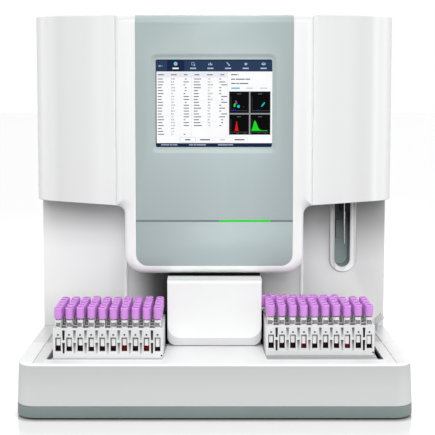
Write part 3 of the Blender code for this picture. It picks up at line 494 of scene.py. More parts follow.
class Finish:
    """A Principled material, kept by its name, and short calls that wire procedural nodes to it."""

    def __init__(self, name, **values):
        material = bpy.data.materials.new(name)
        material.use_nodes = True
        finishes[name] = material
        self.tree = material.node_tree
        self.shader = self.tree.nodes["Principled BSDF"]
        self.place = self.tree.nodes.new("ShaderNodeTexCoord").outputs["Object"]
        for key, value in values.items():
            self.shader.inputs[key.replace("_", " ")].default_value = value

    def noise(self, scale, detail=3.0, vector=None):
        return add_node(self.tree, "TexNoise", {
            "Scale": scale, "Detail": detail, "Vector": vector or self.place})["Fac"]

    def colour(self, value, stops, socket="Base Color"):
        """Wire a ramp of colours, by a value from 0 to 1, to a socket."""
        node = self.tree.nodes.new("ShaderNodeValToRGB")
        band = node.color_ramp
        while len(band.elements) < len(stops):
            band.elements.new(0.5)
        for element, (position, colour) in zip(band.elements, stops):
            element.position = position
            element.color = (*colour, 1.0)
        self.tree.links.new(value, node.inputs["Fac"])
        self.tree.links.new(node.outputs["Color"], self.shader.inputs[socket])

    def roughness(self, value, low, high):
        spread = add_node(self.tree, "MapRange", {
            "From Min": 0.3, "From Max": 0.7, "To Min": low, "To Max": high, "Value": value})
        self.tree.links.new(spread["Result"], self.shader.inputs["Roughness"])

    def bump(self, value, strength, distance):
        bump = add_node(self.tree, "Bump", {"Strength": strength, "Distance": distance, "Height": value})
        self.tree.links.new(bump["Normal"], self.shader.inputs["Normal"])

    def cast(self, roughness, grain, depth):
        """Uneven gloss and a fine cast grain."""
        self.roughness(self.noise(45.0), roughness - 0.04, roughness + 0.05)
        self.bump(self.noise(grain, 2.0), 0.25, depth)


def moulded(name, colour, roughness, mottle=0.03, grain=1400.0, depth=0.00004, specular=0.4):
    """Moulded or painted surface: faint mottling, uneven gloss and a fine cast grain."""
    finish = Finish(name, Specular_IOR_Level=specular)
    stops = [(0.3, shade(colour, 1 - mottle)), (0.7, shade(colour, 1 + mottle / 2))]
    finish.colour(finish.noise(9.0), stops)
    finish.cast(roughness, grain, depth)


def graded(name, low, high, axis, roughness, colour, *stops):
    """Moulded surface whose tone changes along an axis, from one height or width to another."""
    finish = Finish(name, Specular_IOR_Level=0.3)
    parts = add_node(finish.tree, "SeparateXYZ", {0: finish.place})
    share = add_node(finish.tree, "MapRange", {"From Min": low, "From Max": high, "Value": parts[axis]})
    finish.colour(share["Result"], [(place, shade(colour, tone)) for place, tone in stops])
    finish.cast(roughness, 1200.0, 0.00004)


def brushed(name, colour, roughness, scale=(3.0, 260.0, 260.0)):
    """Sheet metal with fine lines along one direction."""
    finish = Finish(name, Metallic=0.85)
    stretched = add_node(finish.tree, "Mapping", {"Scale": scale, "Vector": finish.place})["Vector"]
    lines = finish.noise(4.0, 6.0, stretched)
    finish.colour(lines, [(0.3, shade(colour, 0.86)), (0.7, shade(colour, 1.08))])
    finish.roughness(lines, roughness - 0.08, roughness + 0.08)
    finish.bump(lines, 0.15, 0.00005)


def glassy(name, colour, roughness, transmission, alpha=1.0, gloss=0.5):
    """Clear plastic or glass with slight smears in its gloss."""
    finish = Finish(name, Transmission_Weight=transmission, IOR=1.45, Alpha=alpha, Specular_IOR_Level=gloss)
    smear = finish.noise(60.0)
    finish.roughness(smear, roughness, roughness + 0.06)
    finish.colour(smear, [(0.3, shade(colour, 0.96)), (0.7, colour)])


def lit(name, colour, strength, body=(0.001, 0.001, 0.0012), roughness=0.45, ripple=0.03, scale=40.0):
    """A lit surface: it glows in its own colour, a little unevenly, under a satin front."""
    finish = Finish(name, Roughness=roughness, Emission_Strength=strength, Specular_IOR_Level=0.02)
    glow = finish.noise(scale)
    finish.colour(glow, [(0.3, shade(colour, 1 - ripple)), (0.7, colour)], "Emission Color")
    finish.colour(glow, [(0.3, shade(body, 0.9)), (0.7, body)])


for values in (  # name, colour, roughness, mottle, grain, its depth, specular
        ("shell_white", (0.80, 0.802, 0.804), 0.36, 0.012),
        ("console_white", (0.858, 0.864, 0.859), 0.34, 0.010),
        # Painted shade: the cover's down-facing lower band.
        ("band_white", (0.75, 0.752, 0.754), 0.4, 0.01),
        # Painted shade: the console's up-facing top roll.
        ("roll_white", (0.74, 0.75, 0.742), 0.4, 0.012),
        # Painted shade: the deck behind the seam, in shade under the wings.
        ("deck_white", (0.635, 0.637, 0.639), 0.36, 0.012),
        ("ledge_pale", (0.68, 0.682, 0.684), 0.4, 0.012),
        # Painted shade: the rear part of the side ledges, under the wings.
        ("ledge_grey", (0.50, 0.502, 0.504), 0.45, 0.012),
        ("groove_teal", linear(126, 140, 143), 0.5, 0.03),
        ("plinth_grey", linear(124, 137, 135), 0.48, 0.04, 900.0, 0.00006),
        ("tray_plastic", linear(165, 166, 166), 0.45, 0.04, 900.0, 0.00006),
        ("rubber_black", (0.02, 0.02, 0.021), 0.75, 0.2, 700.0, 0.0002, 0.3),
        # Dark plastic of real parts; also the painted shade in the rack's end grooves, peep holes and pin hole, and the
        # painted shadow line under the cover's foot.
        ("dark_plastic", (0.022, 0.023, 0.026), 0.42, 0.15, 800.0, 0.0001, 0.35),
        ("wash_black", (0.012, 0.012, 0.013), 0.6, 0.1, 700.0, 0.0001, 0.1),
        # Near-black painted shadow for the gaps round the centre cover.
        ("seal_black", (0.004, 0.004, 0.004), 0.9, 0.3, 700.0, 0.0001, 0.05),
        ("rack_white", (0.74, 0.745, 0.75), 0.33, 0.02, 1600.0, 0.00003),
        # Painted shade for the rack: trough_grey on the trough floor between the tubes, well_grey in the tube wells.
        ("trough_grey", (0.20, 0.20, 0.202), 0.5, 0.1),
        ("well_grey", (0.10, 0.10, 0.102), 0.5, 0.1),
        ("cap_lavender", (0.66, 0.28, 0.76), 0.30, 0.06, 1200.0, 0.00006, 0.5),
        ("stopper_violet", (0.30, 0.07, 0.40), 0.5, 0.1),
        ("paper_white", (0.84, 0.84, 0.83), 0.6, 0.04, 1500.0, 0.00003, 0.2),
        ("ink_dark", (0.02, 0.02, 0.024), 0.6, 0.2, 1500.0, 0.00003, 0.2),
        ("ink_orange", (0.80, 0.42, 0.26), 0.5, 0.1, 1500.0, 0.00003, 0.3),
        ("blood_red", (0.010, 0.0005, 0.001), 0.45, 0.6, 300.0, 0.00002, 0.1),
        ("blood_bright", (0.13, 0.001, 0.001), 0.45, 0.4, 300.0, 0.00002, 0.1),
        ("blood_film", (0.045, 0.013, 0.013), 0.25, 0.5, 300.0, 0.00002, 0.5),
        ("module_grey", (0.30, 0.31, 0.32), 0.42, 0.08, 700.0, 0.0001),
        ("board_green", (0.02, 0.13, 0.055), 0.38, 0.25, 500.0, 0.0001, 0.5),
        ("cartridge_white", (0.72, 0.72, 0.70), 0.35, 0.03),
        ("valve_blue", (0.05, 0.12, 0.30), 0.4, 0.1)):
    moulded(*values)

even = (1.0, 1.0, 1.0)
for values in (  # name, first and last place, axis, roughness, colour, then (share, tone) along the axis
        # Painted highlight and shade: light and dark bands across the doors, where their curves catch or lose the
        # light.
        ("door_white", -0.360, 0.360, "X", 0.36, (1.0, 1.002, 1.005),
         (0.0, 0.80), (0.03, 0.80), (0.05, 0.735), (0.08, 0.765), (0.13, 0.785), (0.17, 0.845), (0.21, 0.815),
         (0.81, 0.80), (0.885, 0.79), (0.928, 0.74), (0.952, 0.765), (0.968, 0.885), (0.98, 0.83), (1.0, 0.80)),
        # Painted light: the console frame is lighter towards its bottom, with a faint green tint against the lavender
        # light thrown up by the caps.
        ("frame_white", 0.240, 0.400, "Z", 0.34, (0.996, 1.004, 0.997), (0.0, 0.93), (0.4, 0.92), (1.0, 0.86)),
        # Painted reflection: the grey panels are lighter right of the middle and darker towards their sides.
        ("panel_grey", -panel_half_width, panel_half_width, "X", 0.32, linear(175, 188, 188),
         (0.0, 0.97), (0.3, 1.0), (0.55, 1.08), (0.75, 1.05), (0.93, 0.94), (1.0, 0.91)),
        ("panel_low_grey", -panel_half_width, panel_half_width, "X", 0.36, linear(168, 181, 181),
         (0.0, 0.95), (0.3, 1.0), (0.6, 1.06), (0.8, 1.03), (1.0, 0.93)),
        # Painted shade: the probe bay's liner darkens upwards into the bay.
        ("liner_grey", 0.239, 0.394, "Z", 0.38, linear(150, 163, 163),
         (0.0, 1.05), (0.265, 0.92), (0.484, 0.60), (0.60, 0.32), (0.70, 0.14), (0.80, 0.07), (1.0, 0.05)),
        # Painted shade: the base's front is darker towards its top, and darker than the up-facing rim.
        ("loader_white", 0.030, 0.105, "Z", 0.34, (1.0, 1.003, 1.006),
         (0.0, 0.66), (0.4, 0.64), (0.8, 0.585), (1.0, 0.56)),
        # Painted light and shade on the deck's top: tones across its width, darker towards both ends and darkest by the
        # right ledge.
        ("side_deck_white", -base_half_width, base_half_width, "X", 0.36, even,
         (0.0, 0.76), (0.10, 0.75), (0.13, 0.80), (0.17, 0.86), (0.83, 0.86), (0.88, 0.78), (0.92, 0.76),
         (0.953, 0.74), (0.958, 0.58), (0.972, 0.64), (1.0, 0.70)),
        # Painted shade: the cover's rolled top edge darkens towards its top, under the console's lip.
        ("grip_white", 0.237, 0.244, "Z", 0.4, even,
         (0.0, 0.86), (0.2, 0.85), (0.5, 0.84), (0.8, 0.77), (1.0, 0.69)),
        # Painted light and shade: the console's down-facing lip is lighter at its ends and darker over the cover, with
        # a faint green tint against the lavender light from the caps.
        ("lip_white", -0.15, 0.15, "X", 0.4, (0.963, 1.0, 0.966),
         (0.0, 0.95), (0.25, 0.93), (0.36, 0.84), (0.64, 0.84), (0.75, 0.95), (1.0, 0.97)),
        # Painted shade: the left wall darkens towards its top under the wing, and towards the deck.
        ("wall_white", 0.107, 0.397, "Z", 0.4, even,
         (0.0, 0.66), (0.10, 0.76), (0.28, 0.90), (0.60, 0.90), (0.72, 0.84), (0.83, 0.71), (0.97, 0.60)),
        # The right wall is painted darker overall, and painted shade deepens towards its top under the wing.
        ("wall_pale", 0.107, 0.397, "Z", 0.4, even,
         (0.0, 0.71), (0.49, 0.70), (0.66, 0.55), (0.81, 0.37), (0.97, 0.31)),
        # Painted light and shade across the bezel's funnel: grey on its left side, bright on its right, darker at its
        # edges.
        ("bezel_white", probe_x - bezel_half_width, probe_x + bezel_half_width, "X", 0.4, even,
         (0.0, 0.45), (0.08, 0.58), (0.20, 0.50), (0.27, 0.74), (0.5, 0.74), (0.72, 0.98), (0.88, 0.98), (1.0, 0.62)),
        # Painted shade in the rack's grooves: dark at the top of each groove, lighter below.
        ("groove_grey", 0.0102, 0.0557, "Z", 0.4, even,
         (0.0, 0.62), (0.46, 0.07), (0.50, 0.07), (0.57, 0.62), (1.0, 0.07)),
        # Painted shadow in the tunnel: darkest beside the cover and under the console, lighter towards the outer ends.
        ("tunnel_white", -0.190, 0.190, "X", 0.4, even,
         (0.0, 0.72), (0.08, 0.42), (0.155, 0.115), (0.185, 0.07), (0.235, 0.015), (0.765, 0.50), (0.80, 0.61),
         (0.83, 0.64), (0.92, 0.67), (1.0, 0.70))):
    graded(*values)

brushed("brass", (0.60, 0.42, 0.16), 0.3)
brushed("sheet_steel", (0.52, 0.53, 0.54), 0.38)
brushed("probe_steel", (0.44, 0.44, 0.45), 0.22, (260.0, 260.0, 4.0))
glassy("guard_clear", (0.74, 0.75, 0.75), 0.20, 0.0, alpha=0.6)
glassy("tube_glass", (0.93, 0.95, 0.95), 0.03, 0.95, gloss=0.15)
lit("light_green", linear(10, 224, 22), 0.95, (0.003, 0.10, 0.006), 0.4, 0.10, 300.0)


# Camera, lamps, floor and world


def make_camera():
    data = bpy.data.cameras.new("camera")
    data.lens = 77.17
    data.shift_x = 0.0203
    data.shift_y = -0.12
    camera = stand("camera", data)
    camera.location = (-0.0117, -2.1126, 0.6084)
    camera.rotation_euler = (math.radians(85.96), 0, 0)
    bpy.context.scene.camera = camera


def light(name, kind, power, away):
    """A lamp that shines in a direction."""
    data = bpy.data.lights.new(name, kind)
    data.energy = power
    obj = stand(name, data)
    obj.rotation_euler = away.to_track_quat("-Z", "Y").to_euler()
    return obj


def lamp(name, place, target, width, height, power):
    obj = light(name, "AREA", power, Vector(target) - Vector(place))
    obj.location = place
    obj.data.shape = "RECTANGLE"
    obj.data.size = width
    obj.data.size_y = height


def sun(name, azimuth, elevation, angle, strength):
    """Broad even light from a direction: azimuth 0 is the front, and turns towards the right."""
    turn = math.radians(azimuth)
    rise = math.radians(elevation)
    away = Vector((-math.sin(turn) * math.cos(rise), math.cos(turn) * math.cos(rise), -math.sin(rise)))
    light(name, "SUN", strength, away).data.angle = math.radians(angle)


def seen_ray(tree):
    """1 for a ray from the camera, a reflection or a view through glass, and 0 for plain light."""
    path = tree.nodes.new("ShaderNodeLightPath").outputs
    seen = path["Is Camera Ray"]
    for name in ("Is Glossy Ray", "Is Transmission Ray"):
        seen = add_node(tree, "Math", {0: seen, 1: path[name]}, "MAXIMUM")[0]
    return seen


def make_world():
    """White where it is seen, and a faint cool light elsewhere."""
    world = bpy.data.worlds.new("studio")
    bpy.context.scene.world = world
    world.use_nodes = True
    tree = world.node_tree
    faint = tree.nodes["Background"]
    faint.inputs["Color"].default_value = (0.97, 0.985, 1.0, 1.0)
    faint.inputs["Strength"].default_value = 0.15
    white = add_node(tree, "Background", {"Color": (1, 1, 1, 1)})[0]
    mix = add_node(tree, "MixShader", {0: seen_ray(tree), 1: faint.outputs[0], 2: white})[0]
    tree.links.new(mix, tree.nodes["World Output"].inputs["Surface"])


def make_floor():
    """Pale floor: white where it is lit, with the shadow and a faint reflection of the machine."""
    reach = 40.0
    mesh = bpy.data.meshes.new("floor")
    mesh.from_pydata([(x, y, 0) for x, y, radius in rectangle(-reach, reach, -reach, reach)], [], [(0, 1, 2, 3)])
    floor = stand("floor", mesh)
    material = bpy.data.materials.new("floor_white")
    material.use_nodes = True
    tree = material.node_tree
    shader = tree.nodes["Principled BSDF"]
    shader.inputs["Base Color"].default_value = (0.24, 0.24, 0.24, 1)
    shader.inputs["Roughness"].default_value = 0.06
    shader.inputs["Specular IOR Level"].default_value = 0.0
    seen = seen_ray(tree)
    open_sky = add_node(tree, "AmbientOcclusion", {"Distance": 0.015})["AO"]
    shadow = add_node(tree, "Math", {0: open_sky, 1: 2.1}, "POWER")[0]
    strength = add_node(tree, "Math", {0: seen, 1: shadow}, "MULTIPLY")[0]
    glow = add_node(tree, "Emission", {"Strength": strength, "Color": (0.80, 0.80, 0.80, 1)})[0]
    total = add_node(tree, "AddShader", {0: shader.outputs[0], 1: glow})[0]
    mirror = add_node(tree, "BsdfGlossy", {"Roughness": 0.13})[0]
    amount = add_node(tree, "Math", {0: seen, 1: 0.15, 2: 0.10}, "MULTIPLY_ADD")[0]
    blend = add_node(tree, "MixShader", {0: amount, 1: total, 2: mirror})[0]
    tree.links.new(blend, tree.nodes["Material Output"].inputs["Surface"])
    mesh.materials.append(material)


make_camera()
sun("key_light", 1, 33, 45, 1.62)
sun("overhead_light", 0, 88, 60, 1.06)
sun("rear_light", 172, 35, 50, 0.95)
lamp("front_lamp", (0.05, -2.7, 1.0), (0, 0, 0.55), 0.45, 1.5, 12)
lamp("left_strip", (-2.1, -0.5, 0.9), (-0.3, 0.0, 0.45), 0.6, 1.8, 12)
lamp("right_strip", (2.1, -0.6, 0.9), (0.3, 0.0, 0.45), 0.6, 1.8, 14)
lamp("rear_lamp", (0.0, 2.4, 1.3), (0, 0.2, 0.4), 0.9, 1.2, 13)
make_world()
make_floor()
bpy.context.scene.view_settings.view_transform = "Standard"


# Pieces that are a rounded copy of their CAD node

for hand, side in sides:
    clad(f"{hand}_tray_floor", f"{hand}_bay_floor", "tray_plastic", 0.0005)
    clad(f"{hand}_rack_pusher", f"{hand}_pusher_finger", "dark_plastic", 0.0014, 3, body=f"{hand}_pusher")
for values in (  # node, name, finish, bevel and its segments, slot, body, level
        ("lane_track", "lane_floor", "dark_plastic", 0.0005),
        ("clear_guard", "clear_corner_guard", "guard_clear", 0.0008, 3),
        # The tunnel wall's finish is painted shadow, dark beside the cover and light towards the ends.
        ("tunnel_back_wall", "tunnel_wall", "tunnel_white", 0.0004),
        # The bay key takes the liner's painted shade.
        ("aspirate_key", "bay_key", "liner_grey", 0.0010, 3, "module_grey", "key"),
        ("probe_rail", "probe_slide", "sheet_steel", 0.0008),
        ("probe_wash_block", "wash_block", "wash_black", 0.0012, 3),
        ("sample_probe", "probe_and_carriage", "probe_steel", 0.0003, 2, None, "probe"),
        ("syringe_bank", "syringe_base", "module_grey", 0.0006),
        ("valve_manifold", "valve_block", "module_grey", 0.0008),
        ("dye_holder", "dye_rack", "tray_plastic", 0.0010, 3),
        ("optical_module", "optics_box", "module_grey", 0.0015, 2, None, "root", True),
        ("control_board", "circuit_board", "board_green", 0.0002, 2, None, "root", True),
        ("power_supply", "supply_box", "sheet_steel", 0.0008, 2, None, "root", True),
        ("rear_panel", "rear_sheet", "shell_white", 0.0005, 2, None, "root", True),
        ("fan_frame", "fan_housing", "dark_plastic", 0.0010),
        ("fan_rotor", "fan_wheel", "dark_plastic", 0.0005, 2, None, "rotor"),
        ("power_inlet", "inlet_body", "dark_plastic", 0.0005),
        ("power_switch", "rocker", "dark_plastic", 0.0006, 2, None, "rocker"),
        ("fluid_connectors", "port_plate", "tray_plastic", 0.0005)):
    clad(*values)


# Base and loader


def seam(obj, left, right, first, last, low, high, facing="plan"):
    """Cut a straight groove into a face."""
    cut(obj, slab("seam", [rounded(rectangle(left, right, first, last))], low, high, facing))


def make_base():
    """Plinth, and the white shell of the loader: a drafted tray turned over, with the bays cut in its deck."""
    corners = rectangle(-base_half_width, base_half_width, back(0), back(total_depth), base_corner)
    plinth = slab("plinth", [rounded(corners)], up(0), up(plinth_height))
    soften(plinth, 0.0016)
    dress(plinth, "plinth_grey", nodes=["base_plinth"])
    bottom = up(plinth_height) + seat_gap
    top = up(rim_height)
    sections = [
        (rounded(inset(corners, 0.0008)), bottom), (rounded(corners), bottom + 0.0008),
        (rounded(inset(corners, shell_draft)), top - rim_edge)]
    for step in range(1, 7):
        turn = math.pi / 2 * step / 6
        amount = shell_draft + rim_edge * (1 - math.cos(turn))
        sections.append((rounded(inset(corners, amount)), top - rim_edge * (1 - math.sin(turn))))
    housing = loft("loader_shell", sections, "plan")
    hollow = rounded(inset(corners, shell_draft + housing_wall))
    cut(housing, slab("hollow", [hollow], bottom - overrun, top - housing_deck))
    opening = rounded([  # two bays and the lane between them
        (-bay_outer, back(bay_front), 0.003), (-bay_inner_front, back(bay_front), 0.003),
        (-bay_inner_rear, back(lane_front), 0), (bay_inner_rear, back(lane_front), 0),
        (bay_inner_front, back(bay_front), 0.003), (bay_outer, back(bay_front), 0.003),
        (bay_outer, back(lane_rear), 0.002), (-bay_outer, back(lane_rear), 0.002)], 5)
    cut(housing, slab("opening", [opening], up(plinth_height) + overrun, top + overrun))
    seam(housing, -base_half_width, base_half_width, back(deck_seam), back(deck_seam + groove_width),
         top - 0.0006, top + overrun)
    for hand, side in sides:
        ends = span(side, ledge_inner, 0.3480)
        for first, last, deep in ((0.010, 0.164, 0.0012), (0.1685, 0.240, 0.0022)):
            ledge = rounded(rectangle(*ends, back(first), back(last), 0.003), 4)
            cut(housing, slab("ledge", [ledge], top - deep, top + overrun))
    dress(housing, "loader_white", nodes=["loader_housing"])

    def on_deck(place):
        return place.z > top - 0.0004

    def on_ledge(place, normal, first, last):
        return (normal.z > 0.9 and top - 0.0025 < place.z < top - 0.0008
                and back(first) < place.y < back(last) and abs(place.x) > ledge_inner - 0.0005)

    behind = deck_seam + groove_width
    # Painted light: the up-facing rounded rim takes the lighter console_white, and the front keeps the darker, shaded
    # loader_white.
    paint(housing, "console_white", lambda place, normal: normal.z > 0.3 or (
        place.z > top - 0.0035 and normal.z > 0.1))
    # Painted light and shade: the deck's top takes tones across its width, darker towards both ends and by the right
    # ledge.
    paint(housing, "side_deck_white", lambda place, normal: normal.z > 0.99 and on_deck(place))
    # Painted shade: behind the seam the deck and the rear ledges are darker, as the shade under the wings; the front
    # ledges are pale grey.
    paint(housing, "deck_white", lambda place, normal: normal.z > 0.9 and on_deck(place) and place.y > back(behind))
    paint(housing, "ledge_pale", lambda place, normal: on_ledge(place, normal, 0, deck_seam))
    paint(housing, "ledge_grey", lambda place, normal: on_ledge(place, normal, deck_seam, 0.25))


def make_trim():
    """Light strip at the outer wall of the left bay, a thin black sheet of painted shadow on the deck behind the lane,
    and the feet.
    """
    skirt = block("left_bay_skirt", (-bay_outer - 0.0005, back(bay_front) + 0.002, 0.060),
                  (-bay_outer + 0.0012, back(lane_rear) - 0.002, up(rim_height) - 0.0006))
    dress(soften(skirt, 0.0003, 1), "wall_white")
    # Painted shadow: a thin black sheet on the deck behind the lane, where the passage under the console lies in shade.
    shadow_sheet = block("sampling_shadow_sheet", (-0.118, back(lane_rear) + 0.0015, up(rim_height)),
                (0.118, back(body_front) - 0.0010, up(rim_height) + 0.0006))
    dress(soften(shadow_sheet, 0.0002, 1), "rubber_black")
    for place in ("front_left", "front_right", "rear_left", "rear_right"):
        low, high, centre = seat_of(f"foot_{place}")
        radius = (high.x - low.x) / 2
        height = high.z - low.z
        profile = [  # rounded tread and a groove
            (0, 0), (radius - 0.0012, 0), (radius - 0.0003, 0.0005), (radius, 0.0013),
            (radius, height * 0.5), (radius - 0.0008, height * 0.6), (radius - 0.0008, height * 0.8),
            (radius, height * 0.9), (radius, height), (0, height)]
        dress(turned_at(f"rubber_foot_{place}", profile, [centre], 40), "rubber_black", nodes=[f"foot_{place}"])


# Racks and tubes

window_half = 0.0055
window_low = 0.0147
window_high = 0.0417
well_radius = 0.0069
well_floor = 0.0060
groove_half = 0.0026
peep_radius = 0.0019
peep_depth = 0.0016
peep_height = 0.0467
label_middle = 0.0475
tube_spots = [(index - (tube_count - 1) / 2) * tube_pitch for index in range(tube_count)]
groove_spots = [(one + two) / 2 for one, two in zip(tube_spots, tube_spots[1:])]


def bore(radius, low, high):
    """Profile of a plain round hole or rod."""
    return [(0, low), (radius, low), (radius, high), (0, high)]


def wedges(name, face_y, outward):
    """Cutters for the tapered grooves between the tubes: deep at the top and shallow below."""
    work = bmesh.new()
    for x in groove_spots:
        shallow, deep = (0.0098, 0.0105) if x in (groove_spots[0], groove_spots[-1]) else (0.0030, 0.0078)
        for low, high in ((0.0102, 0.0312), (0.0363, 0.0557)):
            profile = [
                (face_y + outward * overrun, low), (face_y - outward * shallow, low),
                (face_y - outward * deep, high), (face_y + outward * overrun, high)]
            half = {low: groove_half * 0.7, high: groove_half}
            prism(work, *([(x + way * half[z], y, z) for y, z in profile] for way in (-1, 1)))
    return built(name, work)


def make_rack_block():
    """Rack with wells, label windows, peep holes and grooves; its origin is under its middle."""
    half = rack_depth / 2
    outline = rounded(rectangle(-rack_length / 2, rack_length / 2, -half, half, 0.0012), 3)
    rack = slab("rack_block", [outline], 0, rack_height)
    soften(rack, 0.0005, 2)
    wells = bore(well_radius, well_floor, rack_height + overrun)
    cut(rack, turned_at("wells", wells, [(x, 0, 0) for x in tube_spots], 32))
    for outward in (-1, 1):
        near, far = span(outward, half + overrun, 0)
        cut(rack, boxes("windows", [
            ((x - window_half, near, window_low), (x + window_half, far, window_high)) for x in tube_spots]))
        peep = bore(peep_radius, *span(outward, half + overrun, half - peep_depth))
        cut(rack, turned_at("peeps", peep, [(x, 0, peep_height) for x in tube_spots], 16, "Y"))
        cut(rack, wedges("grooves", outward * half, outward))
    pin = bore(0.0018, -half - overrun, -half + 0.004)
    cut(rack, turned_at("pin_hole", pin, [(rack_length / 2 - 0.0026, 0, 0.0062)], 12, "Y"))
    # A shallow trough on the rack's top, so that its floor can be painted dark as the shade between the tubes.
    cut(rack, block("trough", (0.004 - rack_length / 2, 0.0022 - half, rack_height - 0.0006),
                    (rack_length / 2 - 0.004, half - 0.0012, rack_height + overrun)))
    rack.data.materials.append(finishes["rack_white"])

    def inside(place):
        return abs(place.y) < half - 0.00015

    def in_trough(place, normal):
        return normal.z > 0.9 and rack_height - 0.0008 < place.z < rack_height - 0.0004

    def in_groove(place, normal):
        return inside(place) and 0.010 < place.z < 0.056 and any(
            abs(place.x - x) < groove_half + 0.0001 for x in groove_spots)

    def in_edge_groove(place, normal):
        return in_groove(place, normal) and abs(place.x) > tube_pitch * 3.5

    def in_well(place, normal):
        return inside(place) and 0.004 < place.z < rack_height - 0.0012 and any(
            math.hypot(place.x - x, place.y) < well_radius + 0.0001 for x in tube_spots)

    def in_peep(place, normal):
        return inside(place) and any(
            math.hypot(place.x - x, place.z - peep_height) < peep_radius + 0.0001 for x in tube_spots)

    def in_pin(place, normal):
        return inside(place) and place.x > rack_length / 2 - 0.0058 and place.z < 0.0080 and place.y < 0

    # Painted shade in the rack's recesses: the trough floor, the grooves, the end grooves, the wells, the peep holes
    # and the pin hole take darker colours where shade falls.
    for finish, chosen in (
            ("trough_grey", in_trough), ("groove_grey", in_groove), ("dark_plastic", in_edge_groove),
            ("well_grey", in_well), ("dark_plastic", in_peep), ("dark_plastic", in_pin)):
        paint(rack, finish, chosen)
    return rack


tube_finishes = {
    "glass": "tube_glass", "blood": "blood_red", "caps": "cap_lavender", "labels": "paper_white",
    "print": "ink_dark", "film": "blood_film", "marks": "ink_orange"}


def make_tube_set(draw, number):
    """Pieces of ten tubes: glass, blood, labels, print and caps, each tube a little different."""
    foot = well_floor + 0.0008
    shoulder = rack_height + tube_show
    glass, blood, caps, labels, prints, accents, films = [], [], [], [], [], [], []
    for x in tube_spots:
        seat = draw.uniform(-0.0006, 0.0012)
        facing = -101 + draw.uniform(-13, 13)
        label_low = 0.0240 + draw.uniform(-0.0022, 0.0012)
        level = draw.uniform(0.046, 0.056)
        glass.append((x, 0, seat))
        caps.append((x, 0, shoulder + seat))
        blood.append((
            [(0, foot - 0.00002), (0.0031, foot + 0.0005), (0.0053, foot + 0.0024), (0.0064, foot + 0.0052),
             (0.00652, foot + 0.0078), (0.00652, level + 0.0003), (0.0051, level), (0, level - 0.0001)], (x, 0, 0)))
        labels.append((x, facing - 72, facing + 72, label_middle, 0.0745 + seat / 2))
        labels.append((x, -126 + seat * 4000, -54 + seat * 4000, label_low, label_middle))
        for first, last in ((73, 148), (158, 206), (218, 286)):
            films.append((x, facing + first, facing + last - draw.uniform(0, 8), level, shoulder + seat))
        height = 0.0378 + draw.uniform(-0.0008, 0.0008)
        while height < 0.0445:
            bar = draw.choice((0.0006, 0.0008, 0.0011))
            prints.append((x, -124, -56, height, height + bar))
            height += bar + draw.choice((0.0003, 0.0005))
        for row in range(4):
            place = facing - draw.uniform(30, 50)
            low = 0.0618 + row * 0.0020
            while place < facing + 44:
                width = draw.uniform(14, 26)
                prints.append((x, place, place + width, low, low + 0.0016))
                place += width + draw.uniform(2, 4)
        if draw.random() < 0.10:
            accents.append((x, facing + 20, facing + 52, 0.0610, 0.0628))
    tube = [
        (0, foot), (0.0030, foot + 0.0006), (0.0052, foot + 0.0025), (0.0063, foot + 0.0052),
        (0.0065, foot + 0.0075), (0.0065, shoulder + 0.004), (0.0056, shoulder + 0.004), (0.0056, foot + 0.0078),
        (0.0050, foot + 0.0048), (0.0030, foot + 0.0022), (0, foot + 0.0012)]
    cap = [  # from the skirt, over the ribbed side, to the dimple in the top
        (0, 0.0012), (0.0066, 0.0012), (0.0070, 0), (0.0076, 0), (0.0081, 0.0007), (0.0083, 0.0022),
        (0.0084, 0.0030, 0.0003), (0.0083, 0.0190, 0.0003), (0.0081, 0.0203), (0.0077, 0.0215), (0.0069, 0.0223),
        (0.0060, 0.0225), (0.0056, 0.0222), (0.0053, 0.0212), (0.0051, 0.0172), (0.0030, 0.0166), (0, 0.0167)]
    made = {
        "glass": turned_at(f"glass_{number}", tube, glass, 28),
        "blood": turned(f"blood_{number}", blood, 28),
        "caps": turned_at(f"caps_{number}", cap, caps, 56),
        "labels": arc_strips(f"labels_{number}", labels, 0.00656, 0.0001),
        "print": arc_strips(f"print_{number}", prints, 0.00667, 0.00002),
        "film": arc_strips(f"film_{number}", films, 0.0051, 0.0003)}
    if accents:
        made["marks"] = arc_strips(f"marks_{number}", accents, 0.00670, 0.00002)
    for part in ("blood", "caps"):
        made[part].data.materials.append(finishes[tube_finishes[part]])
    bright = [tube_spots[index] for index in ((6, 8), (7,), (3, 7))[number]]
    paint(made["blood"], "blood_bright", lambda place, normal: min(abs(place.x - x) for x in bright) < 0.008)
    paint(made["caps"], "stopper_violet", lambda place, normal: place.z > shoulder + 0.014 and any(
        math.hypot(place.x - x, place.y) < 0.0054 for x in tube_spots))
    return made


def make_racks():
    """Ten racks with their tubes; each rack's pieces ride on the rack's own body."""
    draw = random.Random(11)
    pattern = make_rack_block()
    tube_sets = [make_tube_set(draw, number) for number in range(3)]
    places = [(f"{hand}_rack_{index + 1}", f"{hand}_rack_{index + 1}_body")
              for hand, count in (("left", 5), ("right", 4)) for index in range(count)]
    for index, (node, body) in enumerate(places + [("lane_rack", "moving_rack")]):
        middle = seat_of(node)[2]
        rack = stand(f"{node}_block", pattern.data)
        rack.location = middle
        dress(rack, None, body, [node])
        for part, shape in tube_sets[index % len(tube_sets)].items():
            piece = stand(f"{node}_{part}", shape.data)
            piece.location = middle
            finish = tube_finishes[part]
            dress(piece, None if part in ("caps", "blood") else finish, body)
    for shape in [pattern] + [shape for group in tube_sets for shape in group.values()]:
        bpy.data.objects.remove(shape, do_unlink=True)


# Centre cover


